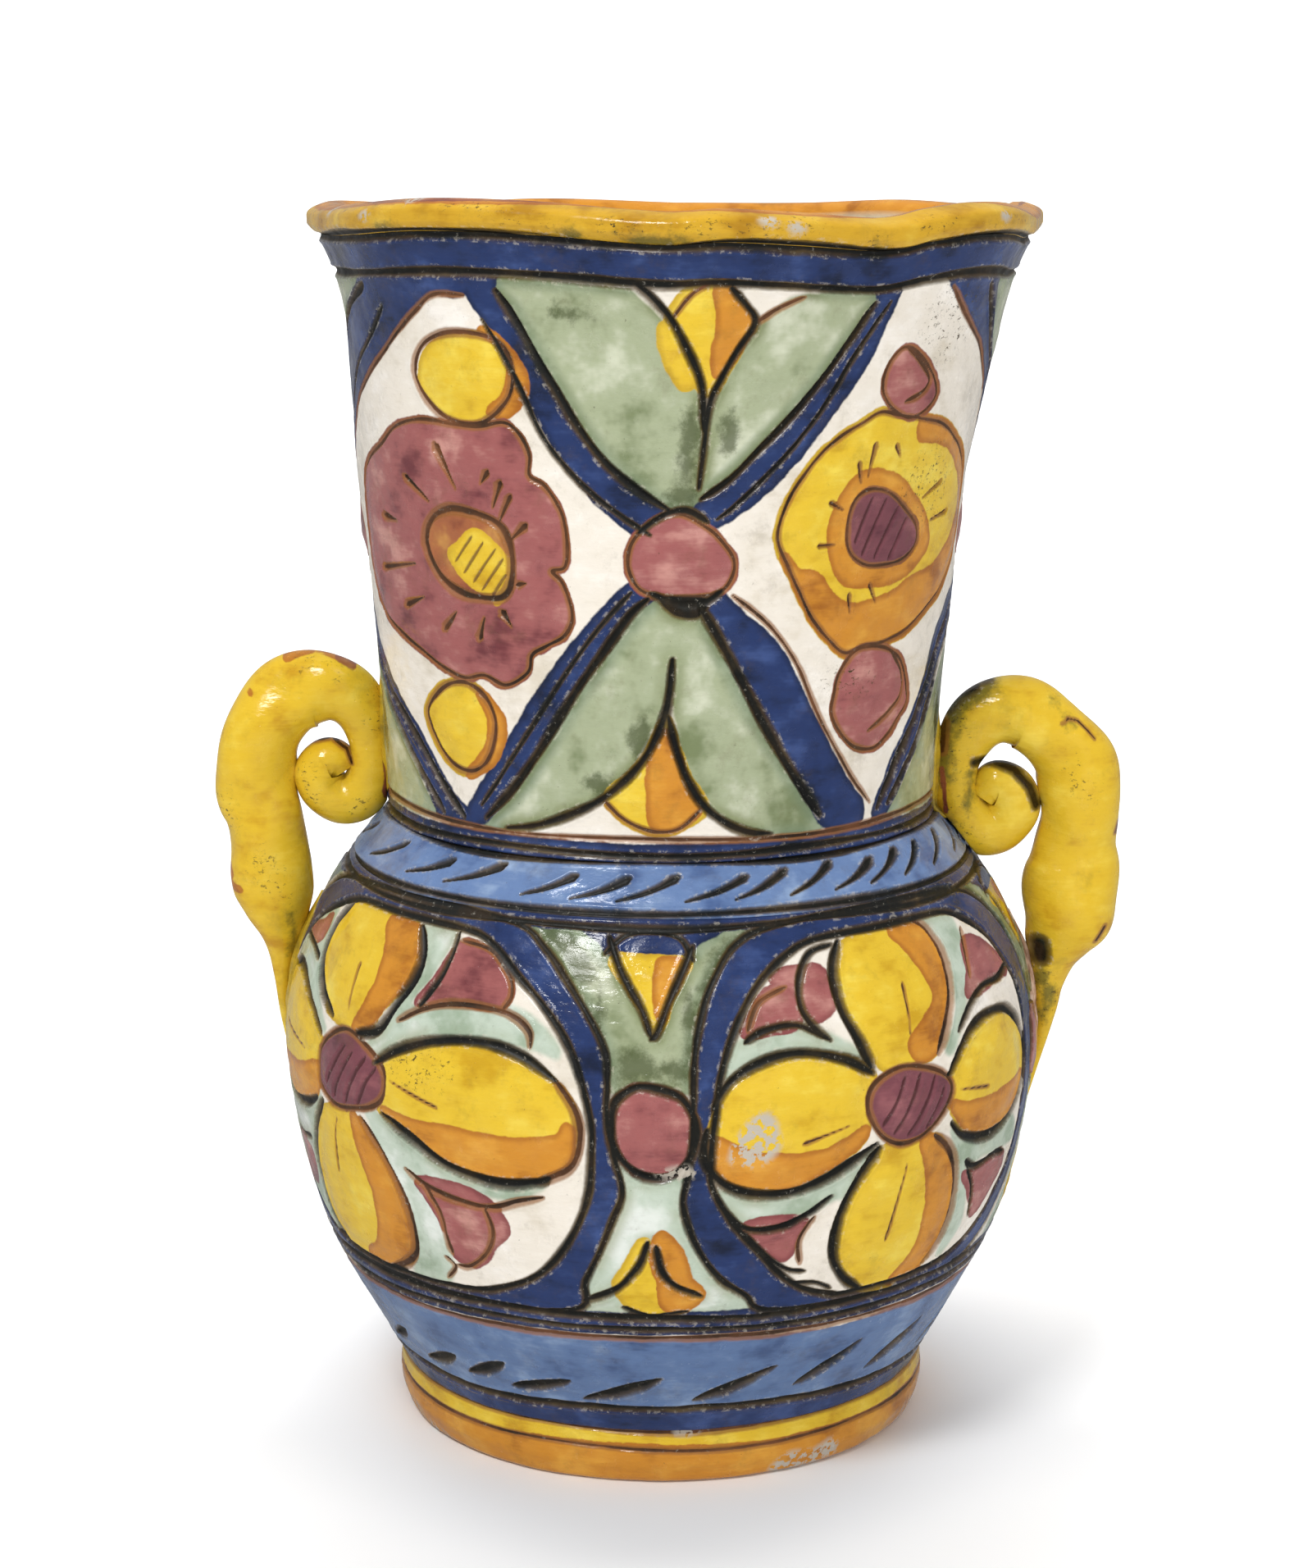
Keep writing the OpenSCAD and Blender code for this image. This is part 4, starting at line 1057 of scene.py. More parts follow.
def build_belly(material):
    """The round bowl with its floor."""
    wall = Wall(belly_out, FOOT_TOP, BELLY_TOP)
    paint_belly(wall)
    floor_z = FOOT_TOP + FLOOR_T
    turn_r = belly_out(floor_z + FLOOR_T) - BELLY_WALL
    rest = [(belly_out(BELLY_TOP) - BELLY_WALL, BELLY_TOP, 1)]
    rest += [(belly_out(z) - BELLY_WALL, z, 1)
             for z in np.arange(BELLY_TOP - 2, floor_z + FLOOR_T, -COARSE)]
    rest += [(turn_r * 0.97, floor_z + FLOOR_T * 0.6, 1), (turn_r * 0.9, floor_z + FLOOR_T * 0.3, 1),
             (turn_r * 0.7, floor_z, 1), (turn_r * 0.3, floor_z, 1), (1, floor_z, 1)]
    return turned_piece("belly_clay", wall, rest, (FOOT_TOP, floor_z), "belly", material)


def build_collar(material):
    """The coil that joins the belly and the neck."""
    wall = Wall(collar_out, BELLY_TOP, COLLAR_TOP)
    paint_collar(wall)
    rest = [(WAIST_R - NECK_WALL, COLLAR_TOP, 1), (belly_out(BELLY_TOP) - BELLY_WALL, BELLY_TOP, 1)]
    return turned_piece("collar_clay", wall, rest, None, "shoulder_collar", material)


def build_neck(material):
    """The tall neck, painted outside and plain inside."""
    wall = Wall(neck_out, COLLAR_TOP, NECK_TOP)
    paint_neck(wall)
    rest = [(neck_out(z) - NECK_WALL, z, 1) for z in np.linspace(NECK_TOP, COLLAR_TOP, 41)]
    return turned_piece("neck_clay", wall, rest, None, "neck", material)


def lip_out(z):
    """Outside of the lip's section at height z: a soft-cornered strip bent outward."""
    t = np.clip((z - NECK_TOP) / LIP_H, 0, 1)
    overhang = 3.0 * np.clip(t / 0.3, 0, 1) ** 0.5
    turned_in = 4.4 * np.clip((t - 0.55) / 0.45, 0, 1) ** 2.6
    return FLARE_R - 1.2 + overhang - turned_in


def build_lip(material):
    """The lip that follows the pinched edge."""
    wall = Wall(lip_out, NECK_TOP, NECK_TOP + LIP_H - 0.02)
    paint_lip(wall)
    top = NECK_TOP + LIP_H
    inner = FLARE_R - NECK_WALL
    rest = [(inner + 2.2, top - 0.1, 0), (inner + 0.8, top - 0.8, 0), (inner - 0.3, top - 2.2, 0),
            (inner - 0.9, top - 3.8, 1), (inner - 0.6, top - 5.6, 1), (inner, NECK_TOP, 1)]
    return turned_piece("lip_clay", wall, rest, None, "rim_coil", material, "orange")


def foot_out(z):
    """Outside of the foot ring: a small round edge below, then nearly upright."""
    edge = 2.2
    t = np.clip(1 - z / edge, 0, 1)
    low_part = FOOT_R - 1 - edge + edge * np.sqrt(1 - t ** 2)
    return low_part + ease((z - edge * 0.5) / 4) - FOOT_PINCH * ease((z - 6) / 6)


def build_foot(material):
    """The ring that the pot stands on."""
    wall = Wall(foot_out, 0.0, FOOT_TOP)
    paint_foot(wall)
    inner = FOOT_R - FOOT_WIDTH
    rest = [(inner, FOOT_TOP, 1), (inner, 2.2, 1), (inner + 0.7, 0.7, 1), (inner + 2.2, 0, 1)]
    return turned_piece("foot_clay", wall, rest, None, "foot_ring", material)


# ---- Handles ----

HANDLE_RINGS = 300
HANDLE_SIDES = 110
HANDLE_CLEAR = 0.35  # least height of a handle's skin over the pot's, mm
# [distance out from the waist, height above the shoulder, thickness], from tail to tip
LEFT_PATH = [(20.8, -60, 1.4), (23.2, -47, 2.2), (23.7, -38, 3.8), (23.8, -33, 5.8), (24.1, -28.5, 9.4),
             (24.6, -24, 14), (25, -19.5, 17.8), (25.9, -14.5, 19), (26.6, -8.5, 18.2), (27.3, -2.5, 17.8),
             (28.6, 3.5, 18.2), (28.4, 10.5, 18.2), (25.8, 17.4, 17.6), (21.2, 23, 17), (15.4, 25.2, 16),
             (9.4, 23.4, 14.2), (5.2, 18.8, 11.6), (3.5, 13, 9.2), (3.8, 7.2, 9.6), (6, 2.4, 10.4),
             (10.2, 0.8, 10.8), (14, 2.8, 10.8), (15.2, 6.6, 10.6), (13, 9, 10), (10.8, 8.4, 8.6),
             (9.8, 7, 7)]
RIGHT_PATH = [(21, -65, 1.6), (24, -53.5, 2.8), (25.2, -45.5, 4.6), (25.5, -40, 6.4), (26.4, -35, 10),
              (27.6, -30.5, 15.2), (29, -25.5, 19.6), (30, -20, 21), (30.9, -14, 20.4), (31, -8.5, 18.6),
              (31.7, -3, 18.4), (31.9, 3, 19), (31, 8, 18.8), (28.6, 12.4, 17.6), (24.4, 16.6, 16.6),
              (19, 20, 16.4), (13, 19.4, 15), (8, 15.8, 12.6), (4.8, 10, 10), (4.4, 3.6, 10.2),
              (6.4, -1.8, 11.2), (10, -5.4, 11.6), (14.2, -5.2, 11.4), (17, -1.4, 11.4), (16.4, 2.2, 11),
              (13.8, 4, 10), (11.6, 3, 8.4), (10.4, 1.4, 7)]
# Thumb dents: (place on the path, direction round the roll, depth in mm)
LEFT_DENTS = [(6.2, 75, 1.0), (8, 110, 1.0), (9.7, 60, 1.1), (11.4, 100, 1.2), (13, 65, 1.2),
              (15, 85, 0.8), (8.6, 5, 0.8), (5.2, 0, 0.5), (11, -10, 0.4), (7, -90, 1.2),
              (9.5, -100, 1.3), (12, -80, 1.2)]
RIGHT_DENTS = [(7.4, -60, 1.0), (9.2, -115, 0.9), (10.8, -70, 1.3), (12.8, -110, 1.0),
               (14.2, -60, 1.2), (16, -85, 0.7), (9.3, 0, 0.7), (13.4, -5, 1.2), (8, 95, 1.2),
               (11, 85, 1.4), (14, 90, 1.1)]
# Stains, with painted shade where marked: (colour, half width, line of (x, z) it runs along), in mm from the
# middle of the pot
LEFT_STAINS_AND_SHADE = [
    ("orange", 0.0, [(-79, 163), (-73, 165), (-68, 163.4)]),
    ("rust", 0.5, [(-68, 163), (-65, 161)]),
    ("orange", -0.5, [(-86.8, 155.6), (-86.6, 155.2)]),
    ("orange", 0.2, [(-93.4, 119), (-92.6, 116)]),
    ("orange", -0.2, [(-92, 113.6), (-90, 113.2)]),
    ("rust", 0.2, [(-58.4, 141), (-58.6, 133)]),
    # dark brown line along the top of the curl: painted shade in the gap under the arch, with dirt
    ("brown", 0.5, [(-74, 144.6), (-70, 145.4), (-66.8, 143), (-65.6, 140)]),
    ("speckle", 0.5, [(-66, 130), (-61, 132)]),
    ("speckle", 0.2, [(-84, 123), (-81, 116)]),
    ("speckle", 1.5, [(-86, 120), (-81, 113)]),
    ("speckle", 1.6, [(-76, 140), (-74, 131)]),
    ("speckle", 1.5, [(-60, 158), (-59.5, 148)]),
    ("speckle", 1.2, [(-93, 133), (-92, 127)]),
    ("speckle", 1.0, [(-76, 162), (-68, 160)]),
    # painted shade along the seam where the handle's tail meets the belly
    ("pool_and_shade", 0.2, [(-78.6, 108), (-78.8, 98)])]
RIGHT_STAINS_AND_SHADE = [
    # dark olive at the joint left of the arch, next to the neck: painted shade and grime
    ("pool_and_shade", 2.2, [(60, 150), (63, 154), (69, 157)]),
    ("pool_and_shade", 1.8, [(60, 149), (59.6, 138)]),
    ("black", 1.3, [(60.5, 151.5), (63, 154.4), (66.5, 156.4)]),
    ("rust", 0.2, [(59.6, 139), (60.6, 130)]),
    ("black", 0.8, [(66, 157), (70, 158)]),
    ("brown", 1.4, [(59.8, 149), (59.4, 143)]),
    ("speckle", 2.4, [(64, 153), (61, 139)]),
    ("speckle", 2.0, [(61, 132), (66, 121)]),
    ("pool_and_shade", 0.4, [(61.5, 127), (64.5, 121)]),
    ("pool_and_shade", 0.2, [(65.8, 138), (65, 131)]),
    ("black", 1.3, [(66.5, 140.4), (70.5, 140.6), (75, 138.8), (78.4, 135), (79.8, 131)]),
    ("pool_and_shade", -0.2, [(82.5, 154.2), (83.4, 153.6)]),
    ("black", 2.4, [(80.9, 101.4), (81.4, 98.2)]),
    ("pool_and_shade", 1.0, [(81, 96), (83, 90), (82.5, 85)]),
    ("pool_and_shade", 0.1, [(85.2, 149.5), (87.2, 149.4)]),
    ("brown", 0.35, [(84.6, 149), (86, 150), (88, 149.5), (90, 147.6), (91.6, 145.8)]),
    ("speckle", 1.6, [(87, 139), (90.5, 134)]),
    ("speckle", 2.2, [(81, 95), (83, 87), (82, 81)]),
    ("rust", 0.1, [(97.4, 148), (99, 140)]),
    ("brown", 0.6, [(99.4, 132), (98.6, 129)]),
    ("brown", 0.6, [(97.8, 127.4), (97, 125)]),
    ("brown", 0.6, [(94.6, 105.5), (92.8, 102)]),
    ("pool_and_shade", 0.2, [(80.5, 94), (82, 89)])]


def line_distance(x, z, line):
    """Distance from each (x, z) to a line of points."""
    best = np.full(x.shape, 1e6)
    for (ax, az), (bx, bz) in zip(line, line[1:]):
        dx, dz = bx - ax, bz - az
        t = np.clip(((x - ax) * dx + (z - az) * dz) / (dx * dx + dz * dz), 0, 1)
        best = np.minimum(best, np.hypot(x - ax - t * dx, z - az - t * dz))
    return best


def handle_rings(path):
    """Smooth samples of a path, and how far each lies along it in points."""
    p = np.array(path, float)
    u = np.linspace(0, len(path) - 1, HANDLE_RINGS)
    i = np.minimum(u.astype(int), len(path) - 2)
    before = p[np.maximum(i - 1, 0)]
    after = p[np.minimum(i + 2, len(path) - 1)]
    t = (u - i)[:, None]
    return u, hermite(p[i], p[i + 1], (p[i + 1] - before) / 2, (after - p[i]) / 2, t)


def rolled_radius(rings, u, turn, side, dents):
    """Radius of the roll, pinched by thumbs and uneven from the palm."""
    radius = rings[:, 2:3] / 2 + 0 * turn
    length = np.concatenate([[0], np.cumsum(np.hypot(*np.diff(rings[:, :2], axis=0).T))])[:, None]
    for place, direction, depth in dents:
        at = np.interp(place, u, length[:, 0])
        off = (turn - direction + 180) % 360 - 180
        radius -= 1.4 * depth * np.exp(-((length - at) / 7) ** 2 - (off / 55) ** 2)
    thick = np.clip(rings[:, 2:3] / 16, 0.15, 1)
    bumps = (np.cos(length * 0.31 + np.radians(turn))
             + np.cos(length * 0.22 - np.radians(2 * turn) + side))
    small = (np.cos(length * 0.5 + np.radians(3 * turn))
             + np.cos(length * 0.41 - np.radians(3 * turn) + 2))
    return radius + thick * (0.34 * bumps + 0.1 * small)


def handle_points(rings, radius, turn, side):
    """Points of the roll in mm, kept just outside the pot's surface."""
    way = np.gradient(rings[:, :2], axis=0)
    way /= np.linalg.norm(way, axis=1)[:, None]
    out = np.stack([way[:, 1], -way[:, 0]], -1)
    s = np.radians(turn)
    x = side * (WAIST_R + rings[:, :1] + radius * np.cos(s) * out[:, :1])
    y = side * radius * np.sin(s)
    z = COLLAR_TOP + rings[:, 1:2] + radius * np.cos(s) * out[:, 1:]
    push = np.maximum(1, (body_out(z) + HANDLE_CLEAR) / np.hypot(x, y))
    return np.stack([x * push, y * push, z], -1)


def stain_and_shade_layers(points, stains_and_shade):
    """Layers of a handle with its stained marks and painted shade, each as wide as its line says."""
    layers = plain_layers(points.shape[:2])
    for key, half, line in stains_and_shade:
        d = line_distance(points[..., 0], points[..., 2], line)
        d = groove_distance(d, half) if key in ("black", "brown") else d - half
        layers[key] = np.minimum(layers[key], np.clip(d, -FAR, FAR))
    return layers


def handle_piece(name, path, side, dents, stains_and_shade, node, material):
    """One rolled clay handle, from its tail on the belly to the tip of its curl."""
    turn = np.linspace(0, 360, HANDLE_SIDES, endpoint=False)[None, :]
    u, rings = handle_rings(path)
    radius = rolled_radius(rings, u, turn, side, dents)
    points = handle_points(rings, radius, turn, side)
    first, last = points[0].mean(0) * MM, points[-1].mean(0) * MM
    piece = grid_mesh(name, points * MM, False, first, last, stain_and_shade_layers(points, stains_and_shade))
    return dress(piece, node, material)


# ---- Pads ----

PAD_RINGS = 24
PAD_SIDES = 96
PAD_EDGE = 0.3       # height of a smear at its edge, mm
PAD_UNDER = 0.8      # depth of its underside in the pot's wall, mm


def pad_piece(name, side, spot, node, material):
    """A thin smear of clay on the body's surface under a handle's end."""
    height, half_wide, half_tall = spot
    a = np.linspace(0, 2 * math.pi, PAD_SIDES, endpoint=False)[None, :]
    s = (np.arange(1, PAD_RINGS + 1) / PAD_RINGS)[:, None]
    ragged = 1 + s * 0.05 * (np.cos(5 * a + half_tall) + np.cos(9 * a + side))

    def skin(lift):
        """Points at a height over the pot's surface."""
        z = COLLAR_TOP + height + s * ragged * half_tall * np.sin(a)
        r = body_out(z) + lift
        angle = side * (90 + np.degrees(s * ragged * half_wide * np.cos(a) / r))
        return placed(angle, r, z)

    lift = PAD_EDGE + (PAD_T - PAD_EDGE) * ease((1 - s) / 0.4) + 0.12 * np.cos(7 * a + 9 * s)
    under, over = skin(-PAD_UNDER + 0 * a), skin(lift)[::-1]
    points = np.concatenate([under, over])
    layers = plain_layers(points.shape[:2])
    piece = grid_mesh(name, points, False, under[0].mean(0), over[-1].mean(0), layers)
    return dress(piece, node, material)


# ---- Materials ----

def rgb(text):
    """Linear colour of a six-digit sRGB hex colour."""
    parts = [int(text[i:i + 2], 16) / 255 for i in (0, 2, 4)]
    return tuple(c / 12.92 if c < 0.04045 else ((c + 0.055) / 1.055) ** 2.4 for c in parts) + (1,)


class Shader:
    """A glaze material under construction. Sizes are in mm."""

    def __init__(self, name):
        self.material = bpy.data.materials.new(name)
        self.material.use_nodes = True
        self.nodes = self.material.node_tree.nodes
        self.links = self.material.node_tree.links
        self.surface = self.nodes["Principled BSDF"]
        place = self.nodes.new("ShaderNodeTexCoord")
        scale = self.nodes.new("ShaderNodeVectorMath")
        scale.operation = "SCALE"
        scale.inputs["Scale"].default_value = 1 / MM
        self.links.new(place.outputs["Object"], scale.inputs[0])
        self.place = scale.outputs[0]

    def put(self, socket, value):
        """Links an output to a socket, or sets the socket to a constant."""
        if hasattr(value, "is_output"):
            self.links.new(value, socket)
        else:
            socket.default_value = value

    def layer(self, name):
        """A float layer of the mesh."""
        node = self.nodes.new("ShaderNodeAttribute")
        node.attribute_name = name
        return node.outputs["Fac"]

    def math(self, operation, a, b=0.0):
        """One sum on two values."""
        node = self.nodes.new("ShaderNodeMath")
        node.operation = operation
        self.put(node.inputs[0], a)
        self.put(node.inputs[1], b)
        return node.outputs[0]

    def ramp(self, value, start, end, low_value=0.0, high_value=1.0):
        """Smooth change from low_value at start to high_value at end."""
        node = self.nodes.new("ShaderNodeMapRange")
        node.interpolation_type = "SMOOTHSTEP"
        self.put(node.inputs["Value"], value)
        flip = start > end
        node.inputs["From Min"].default_value = end if flip else start
        node.inputs["From Max"].default_value = start if flip else end
        node.inputs["To Min"].default_value = high_value if flip else low_value
        node.inputs["To Max"].default_value = low_value if flip else high_value
        return node.outputs["Result"]

    def noise(self, size, detail=3.0, stretch=(1, 1, 1), rough=0.55):
        """Noise from 0 to 1 with features of about size mm, longer where stretch is over 1."""
        move = self.nodes.new("ShaderNodeMapping")
        move.inputs["Location"].default_value = (size * 3.7, size * 1.3, size * 5.1)
        move.inputs["Scale"].default_value = tuple(1 / (size * s) for s in stretch)
        self.links.new(self.place, move.inputs["Vector"])
        node = self.nodes.new("ShaderNodeTexNoise")
        node.inputs["Scale"].default_value = 1.0
        node.inputs["Detail"].default_value = detail
        node.inputs["Roughness"].default_value = rough
        self.links.new(move.outputs["Vector"], node.inputs["Vector"])
        return node.outputs["Fac"]

    def mix(self, share, a, b):
        """Colour a where share is 0 and b where it is 1."""
        node = self.nodes.new("ShaderNodeMix")
        node.data_type = "RGBA"
        self.put(node.inputs[0], share)
        self.put(node.inputs[6], a)
        self.put(node.inputs[7], b)
        return node.outputs[2]

    def bump(self, height, distance, strength, under=None):
        """A surface normal tilted by a height, over the normal under it."""
        node = self.nodes.new("ShaderNodeBump")
        node.inputs["Strength"].default_value = strength
        node.inputs["Distance"].default_value = distance * MM
        self.links.new(height, node.inputs["Height"])
        if under is not None:
            self.links.new(under, node.inputs["Normal"])
        return node.outputs["Normal"]


def tones(sh, share, dark, middle, light):
    """A colour that goes from dark through middle to light as share goes from 0 to 1."""
    first = sh.mix(sh.ramp(share, 0.34, 0.5), rgb(dark), rgb(middle))
    return sh.mix(sh.ramp(share, 0.5, 0.66), first, rgb(light))


def cover(sh, wobble, name, soft=0.2, grow=0.3):
    """Where a painted layer lies, with its hand-made edge."""
    distance = sh.math("ADD", sh.layer(name), wobble)
    return sh.ramp(distance, grow + soft, grow - soft)


def washed(sh, wobble, colour, name, tone, edge, soft=0.2, grow=0.3):
    """Lays a layer's tone over colour, darker where the brush left paint at its edge."""
    distance = sh.math("ADD", sh.layer(name), wobble)
    rim = sh.math("MULTIPLY", sh.ramp(distance, grow - 1.6, grow - 0.2), 0.6)
    return sh.mix(cover(sh, wobble, name, soft, grow), colour, sh.mix(rim, tone, rgb(edge)))


def glaze(name, dark, middle, light):
    """Tin glaze over clay, with the painted layers of the wall on top of its own colour."""
    sh = Shader(name)
    brush = sh.noise(1.3, 3, (4, 4, 0.35))
    cloud = sh.noise(16, 4, rough=0.6)
    grain = sh.noise(0.7, 3)
    shade = sh.math("MULTIPLY", sh.noise(5, 3, (1.5, 1.5, 0.8)), 0.35)
    shade = sh.math("ADD", shade, sh.math("MULTIPLY", brush, 0.07))
    shade = sh.math("ADD", shade, sh.math("MULTIPLY", cloud, 0.58))
    wobble = sh.math("ADD", sh.math("MULTIPLY", sh.math("SUBTRACT", sh.noise(3.5, 2), 0.5), 1.0),
                     sh.math("MULTIPLY", sh.math("SUBTRACT", grain, 0.5), 0.25))
    colour = tones(sh, shade, dark, middle, light)
    colour = paint_layers(sh, colour, shade, wobble, cloud)
    colour = line_layers(sh, colour, wobble, cloud)
    colour = wear_layers(sh, colour, wobble, cloud)
    sh.put(sh.surface.inputs["Base Color"], colour)
    gloss = sh.ramp(sh.noise(5, 4), 0.35, 0.75, 0.12, 0.32)
    gloss = sh.math("ADD", gloss, sh.ramp(sh.layer("depth"), 0.1, 0.5, 0, 0.35))
    sh.put(sh.surface.inputs["Roughness"], gloss)
    sh.surface.inputs["IOR"].default_value = 1.45
    pits = sh.ramp(sh.noise(1.1, 2), 0.7, 0.78, 1, 0)
    under = sh.bump(sh.noise(3.5, 3, (1, 1, 0.4)), 0.3, 0.6)
    under = sh.bump(brush, 0.03, 0.5, under)
    under = sh.bump(grain, 0.06, 0.5, under)
    sh.put(sh.surface.inputs["Normal"], sh.bump(pits, 0.15, 0.5, under))
    return sh.material


def paint_layers(sh, colour, shade, wobble, cloud):
    """The brushed colours, from the palest to the strongest, with dark specks on top."""
    mint = tones(sh, sh.math("ADD", sh.math("MULTIPLY", cloud, 0.7), sh.math("MULTIPLY", shade, 0.3)),
                 "747f5a", "a0a888", "c6cab2")
    near_navy = sh.ramp(sh.layer("navy"), 3.8, 0.0)
    mint = sh.mix(sh.math("MULTIPLY", near_navy, sh.ramp(cloud, 0.4, 0.6, 0.2, 0.6)), mint, rgb("5c7f82"))
    near_cut = sh.ramp(sh.layer("black"), 3.0, 0.0)
    olive = sh.math("MULTIPLY", near_cut, sh.ramp(cloud, 0.42, 0.6, 0.1, 0.75))
    mint = sh.mix(olive, mint, rgb("66703a"))
    colour = sh.mix(cover(sh, wobble, "mint", 0.6, 0.8), colour, mint)
    pale = tones(sh, cloud, "98a892", "bcc8b8", "dbe0d8")
    pale = sh.mix(sh.math("MULTIPLY", olive, 0.7), pale, rgb("7a8450"))
    colour = sh.mix(cover(sh, wobble, "pale", 0.7, 0.9), colour, pale)
    loose = sh.math("MULTIPLY", sh.math("SUBTRACT", sh.noise(4, 5, rough=0.7), 0.5), 9)
    # dark olive: glaze pooled on the washes, and painted shade along the seams where the handles meet the
    # pot
    pool_and_shade = sh.math("MULTIPLY", cover(sh, loose, "pool_and_shade", 1.6), 0.75)
    colour = sh.mix(pool_and_shade, colour, rgb("3d4722"))
    sky = tones(sh, shade, "40547c", "5c749c", "8096b6")
    colour = sh.mix(cover(sh, wobble, "sky"), colour, sky)
    navy = tones(sh, shade, "131d36", "22335f", "3a4e80")
    colour = washed(sh, wobble, colour, "navy", navy, "121b34", 0.25)
    yellow = tones(sh, shade, "c49a1c", "dcb830", "e6cc4e")
    colour = washed(sh, wobble, colour, "yellow", yellow, "b08c20", grow=1.3)
    orange = tones(sh, shade, "9c5e1a", "c8862a", "d89c3a")
    colour = washed(sh, wobble, colour, "orange", orange, "9a5818", grow=1.1)
    mauve = tones(sh, shade, "6a3438", "9a5a58", "c08a80")
    colour = washed(sh, wobble, colour, "mauve", mauve, "743638", grow=0.9)
    plum = tones(sh, shade, "4c2630", "74424a", "90585c")
    colour = washed(sh, wobble, colour, "plum", plum, "4c2630", grow=0.6)
    rust = tones(sh, cloud, "7c4030", "a0603c", "c08a48")
    colour = washed(sh, wobble, colour, "rust", rust, "7a3c2c")
    colour = washed(sh, wobble, colour, "centre", yellow, "c8a022")
    specks = sh.math("MULTIPLY", sh.ramp(sh.noise(0.9, 5, (1.6, 1, 1), 0.8), 0.57, 0.62),
                     cover(sh, loose, "speckle", 2.5))
    return sh.mix(specks, colour, rgb("43381e"))


def line_layers(sh, colour, wobble, cloud):
    """The dark glaze lying in the cuts: a stain up their sides and a core along the bottom."""
    small = sh.math("MULTIPLY", wobble, 0.4)
    stain = tones(sh, cloud, "222216", "4a3819", "5f4d22")
    colour = sh.mix(sh.math("MULTIPLY", cover(sh, small, "brown", 0.3, 0.1), 0.75), colour, rgb("93602e"))
    colour = sh.mix(sh.math("MULTIPLY", cover(sh, small, "black", 0.35, 0.05), 0.88), colour, stain)
    scratch = sh.math("MULTIPLY", cover(sh, small, "scratch", 0.3, -0.4), 0.7)
    colour = sh.mix(scratch, colour, rgb("4a2020"))
    brown = tones(sh, cloud, "32200f", "55341a", "704424")
    colour = sh.mix(cover(sh, small, "brown", 0.15, -0.5), colour, brown)
    ink = tones(sh, cloud, "0b0c0a", "14140e", "2a1e0e")
    return sh.mix(cover(sh, small, "black", 0.25, -0.45), colour, ink)


def wear_layers(sh, colour, wobble, cloud):
    """Pale flecks beside the cuts (worn chips and painted highlight), dust, grime, specks, chips and the
    lining inside the pot.
    """
    # pale flecks along the edges of the black cuts: worn chips, and painted highlight where the raised lips
    # of the cuts catch the light
    beside = sh.ramp(sh.layer("black"), 0.7, 0.3)
    beside = sh.math("MULTIPLY", beside, sh.ramp(sh.layer("black"), -0.4, 0.1))
    chips_and_glints = sh.math("MULTIPLY", beside, sh.ramp(sh.noise(1.6, 4, rough=0.7), 0.52, 0.64, 0, 0.34))
    colour = sh.mix(chips_and_glints, colour, rgb("cfc6b4"))
    deep = sh.ramp(sh.layer("depth"), 0.1, 0.4)
    dust = sh.math("MULTIPLY", deep, sh.ramp(sh.noise(1.3, 5, rough=0.85), 0.6, 0.68, 0, 0.7))
    colour = sh.mix(dust, colour, rgb("aaa598"))
    grime = sh.ramp(sh.noise(9, 5, rough=0.75), 0.52, 0.72, 0, 0.35)
    colour = sh.mix(grime, colour, sh.mix(0.6, colour, rgb("5a4a26")))
    stray = sh.ramp(sh.noise(1.3, 5, rough=0.85), 0.66, 0.7, 0, 0.7)
    colour = sh.mix(stray, colour, rgb("43381f"))
    worn = sh.math("MULTIPLY", cover(sh, wobble, "worn", 1.0), sh.ramp(sh.noise(1.6, 4), 0.46, 0.52))
    colour = sh.mix(worn, colour, rgb("b9b0a2"))
    lining = sh.mix(cloud, rgb("cfc2a6"), rgb("e6dac2"))
    return sh.mix(sh.layer("inside"), colour, lining)


def bare_clay(name):
    """Unglazed pinkish clay with dirt in it."""
    sh = Shader(name)
    cloud = sh.noise(3, 4)
    colour = tones(sh, cloud, "8f6a52", "c19c82", "dcc2ac")
    sh.put(sh.surface.inputs["Base Color"], colour)
    sh.surface.inputs["Roughness"].default_value = 0.85
    sh.put(sh.surface.inputs["Normal"], sh.bump(sh.noise(0.6, 3), 0.15, 0.7))
    return sh.material


def plain_floor():
    """Matt white paper."""
    sh = Shader("paper")
    sh.surface.inputs["Base Color"].default_value = (0.9, 0.9, 0.9, 1)
    sh.surface.inputs["Roughness"].default_value = 0.9
    sh.surface.inputs["Specular IOR Level"].default_value = 0.1
    return sh.material


# ---- Studio ----

def build_floor():
    """A pale sheet that runs back and curves up behind the pot."""
    half_wide, front, back, bend, top = 3.0, -2.5, 1.2, 0.8, 3.0
    profile = [(front, 0), (back, 0)]
    profile += [(back + bend * math.sin(math.radians(a)), bend - bend * math.cos(math.radians(a)))
                for a in range(10, 91, 10)]
    profile += [(back + bend, top)]
    verts = [(x, y, z) for y, z in profile for x in (-half_wide, half_wide)]
    faces = [(2 * i, 2 * i + 1, 2 * i + 3, 2 * i + 2) for i in range(len(profile) - 1)]
    mesh = bpy.data.meshes.new("floor")
    mesh.from_pydata(verts, [], faces)
    mesh.shade_smooth()
    mesh.materials.append(plain_floor())
    floor = bpy.data.objects.new("floor", mesh)
    floor.visible_glossy = False
    bpy.context.scene.collection.objects.link(floor)


def soft_light(name, place, aim, width, height, watts, shines=True):
    """A rectangular lamp aimed at a point, seen in the glaze only if it shines."""
    data = bpy.data.lights.new(name, "AREA")
    data.shape = "RECTANGLE"
    data.size = width
    data.size_y = height
    data.energy = watts
    lamp = bpy.data.objects.new(name, data)
    lamp.location = place
    lamp.visible_glossy = shines
    lamp.rotation_euler = (Vector(aim) - Vector(place)).to_track_quat("-Z", "Y").to_euler()
    bpy.context.scene.collection.objects.link(lamp)


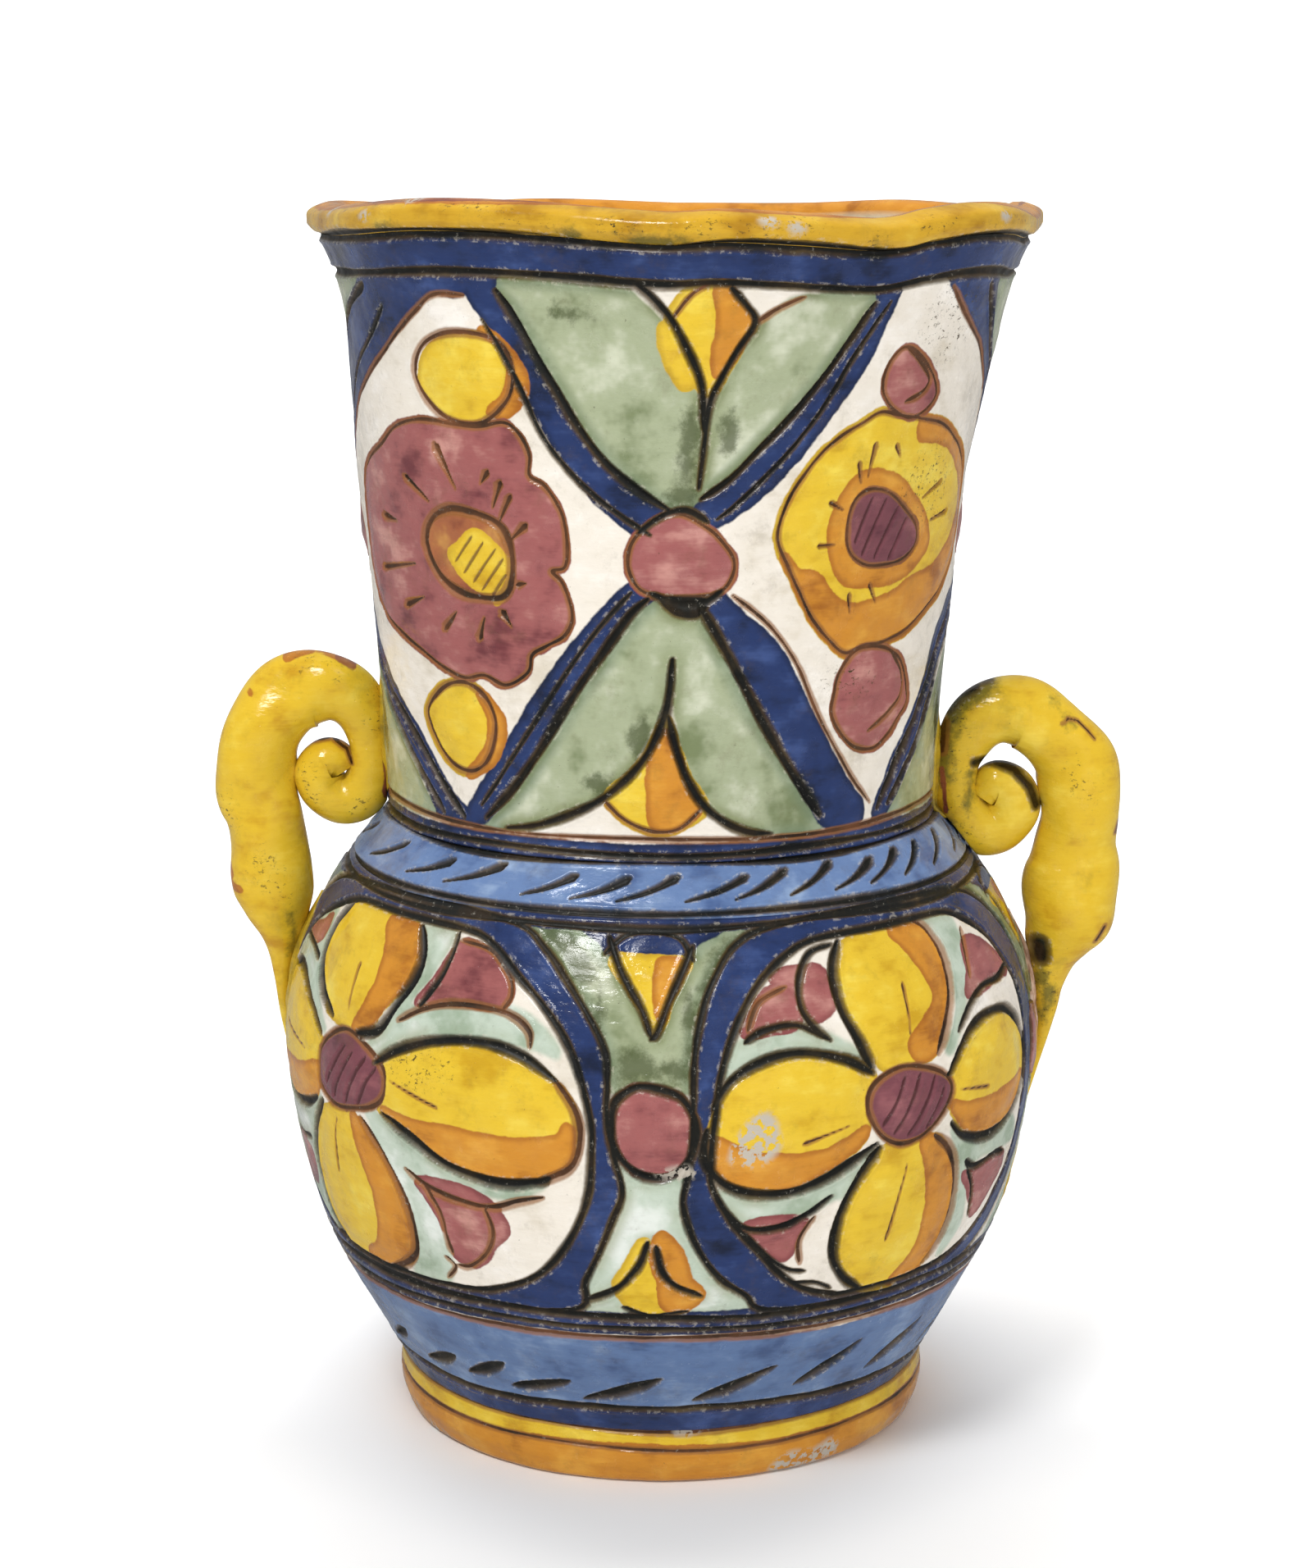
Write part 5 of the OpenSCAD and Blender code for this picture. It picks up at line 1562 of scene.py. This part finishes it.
def build_studio():
    """White surroundings, a lamp overhead, a fill in front and one for the sweep behind."""
    world = bpy.data.worlds.new("white")
    world.use_nodes = True
    sky = world.node_tree.nodes["Background"]
    sky.inputs["Color"].default_value = (1, 1, 1, 1)
    sky.inputs["Strength"].default_value = 0.34
    bpy.context.scene.world = world
    soft_light("overhead", (-0.4, -0.8, 1.15), (0, 0, 0.12), 0.35, 0.35, 9.5)
    soft_light("front", (0.45, -1.1, 0.4), (0, 0, 0.13), 0.7, 0.7, 4.6, False)
    soft_light("sweep", (0, 0.5, 1.9), (0, 1.8, 0.5), 2.0, 0.8, 50, False)
    bpy.context.scene.view_settings.view_transform = "Standard"


def build_camera():
    """A long lens in front of the pot, a little above it and tilted down."""
    tilt = 11.45
    data = bpy.data.cameras.new("camera")
    data.lens = 74.5
    data.sensor_width = 36
    camera = bpy.data.objects.new("camera", data)
    camera.location = (-0.00107, -0.679, 0.2725)
    camera.rotation_euler = (math.radians(90 - tilt), 0, 0)
    bpy.context.scene.collection.objects.link(camera)
    bpy.context.scene.camera = camera


def build_pot():
    """Every clay piece with its glaze."""
    painted = glaze("painted_glaze", "d2c8b6", "e4dccf", "efe9e0")
    sky = glaze("collar_glaze", "48608e", "6882ae", "90a6c6")
    yellow = ("be8e1a", "dab42c", "e6c848")
    build_foot(glaze("foot_glaze", *yellow))
    build_belly(painted)
    build_collar(sky)
    build_neck(painted)
    build_lip(glaze("lip_glaze", "a87a16", "c89c28", "dab642"))
    rolled = glaze("handle_glaze", *yellow)
    handle_piece("left_handle_clay", LEFT_PATH, -1, LEFT_DENTS, LEFT_STAINS_AND_SHADE, "left_handle", rolled)
    handle_piece("right_handle_clay", RIGHT_PATH, 1, RIGHT_DENTS, RIGHT_STAINS_AND_SHADE, "right_handle", rolled)
    smeared = glaze("pad_glaze", "7a6a30", "bd9c26", "d6bc50")
    bare = bare_clay("bare_slip")
    pad_piece("left_upper_smear", -1, (15, 6.6, 13), "left_handle_upper_pad", smeared)
    pad_piece("left_lower_smear", -1, (-37, 6.4, 16.5), "left_handle_lower_pad", smeared)
    pad_piece("right_upper_smear", 1, (8, 6.6, 12), "right_handle_upper_pad", smeared)
    pad_piece("right_lower_smear", 1, (-42, 6.6, 17.5), "right_handle_lower_pad", bare)


build_pot()
build_floor()
build_studio()
build_camera()
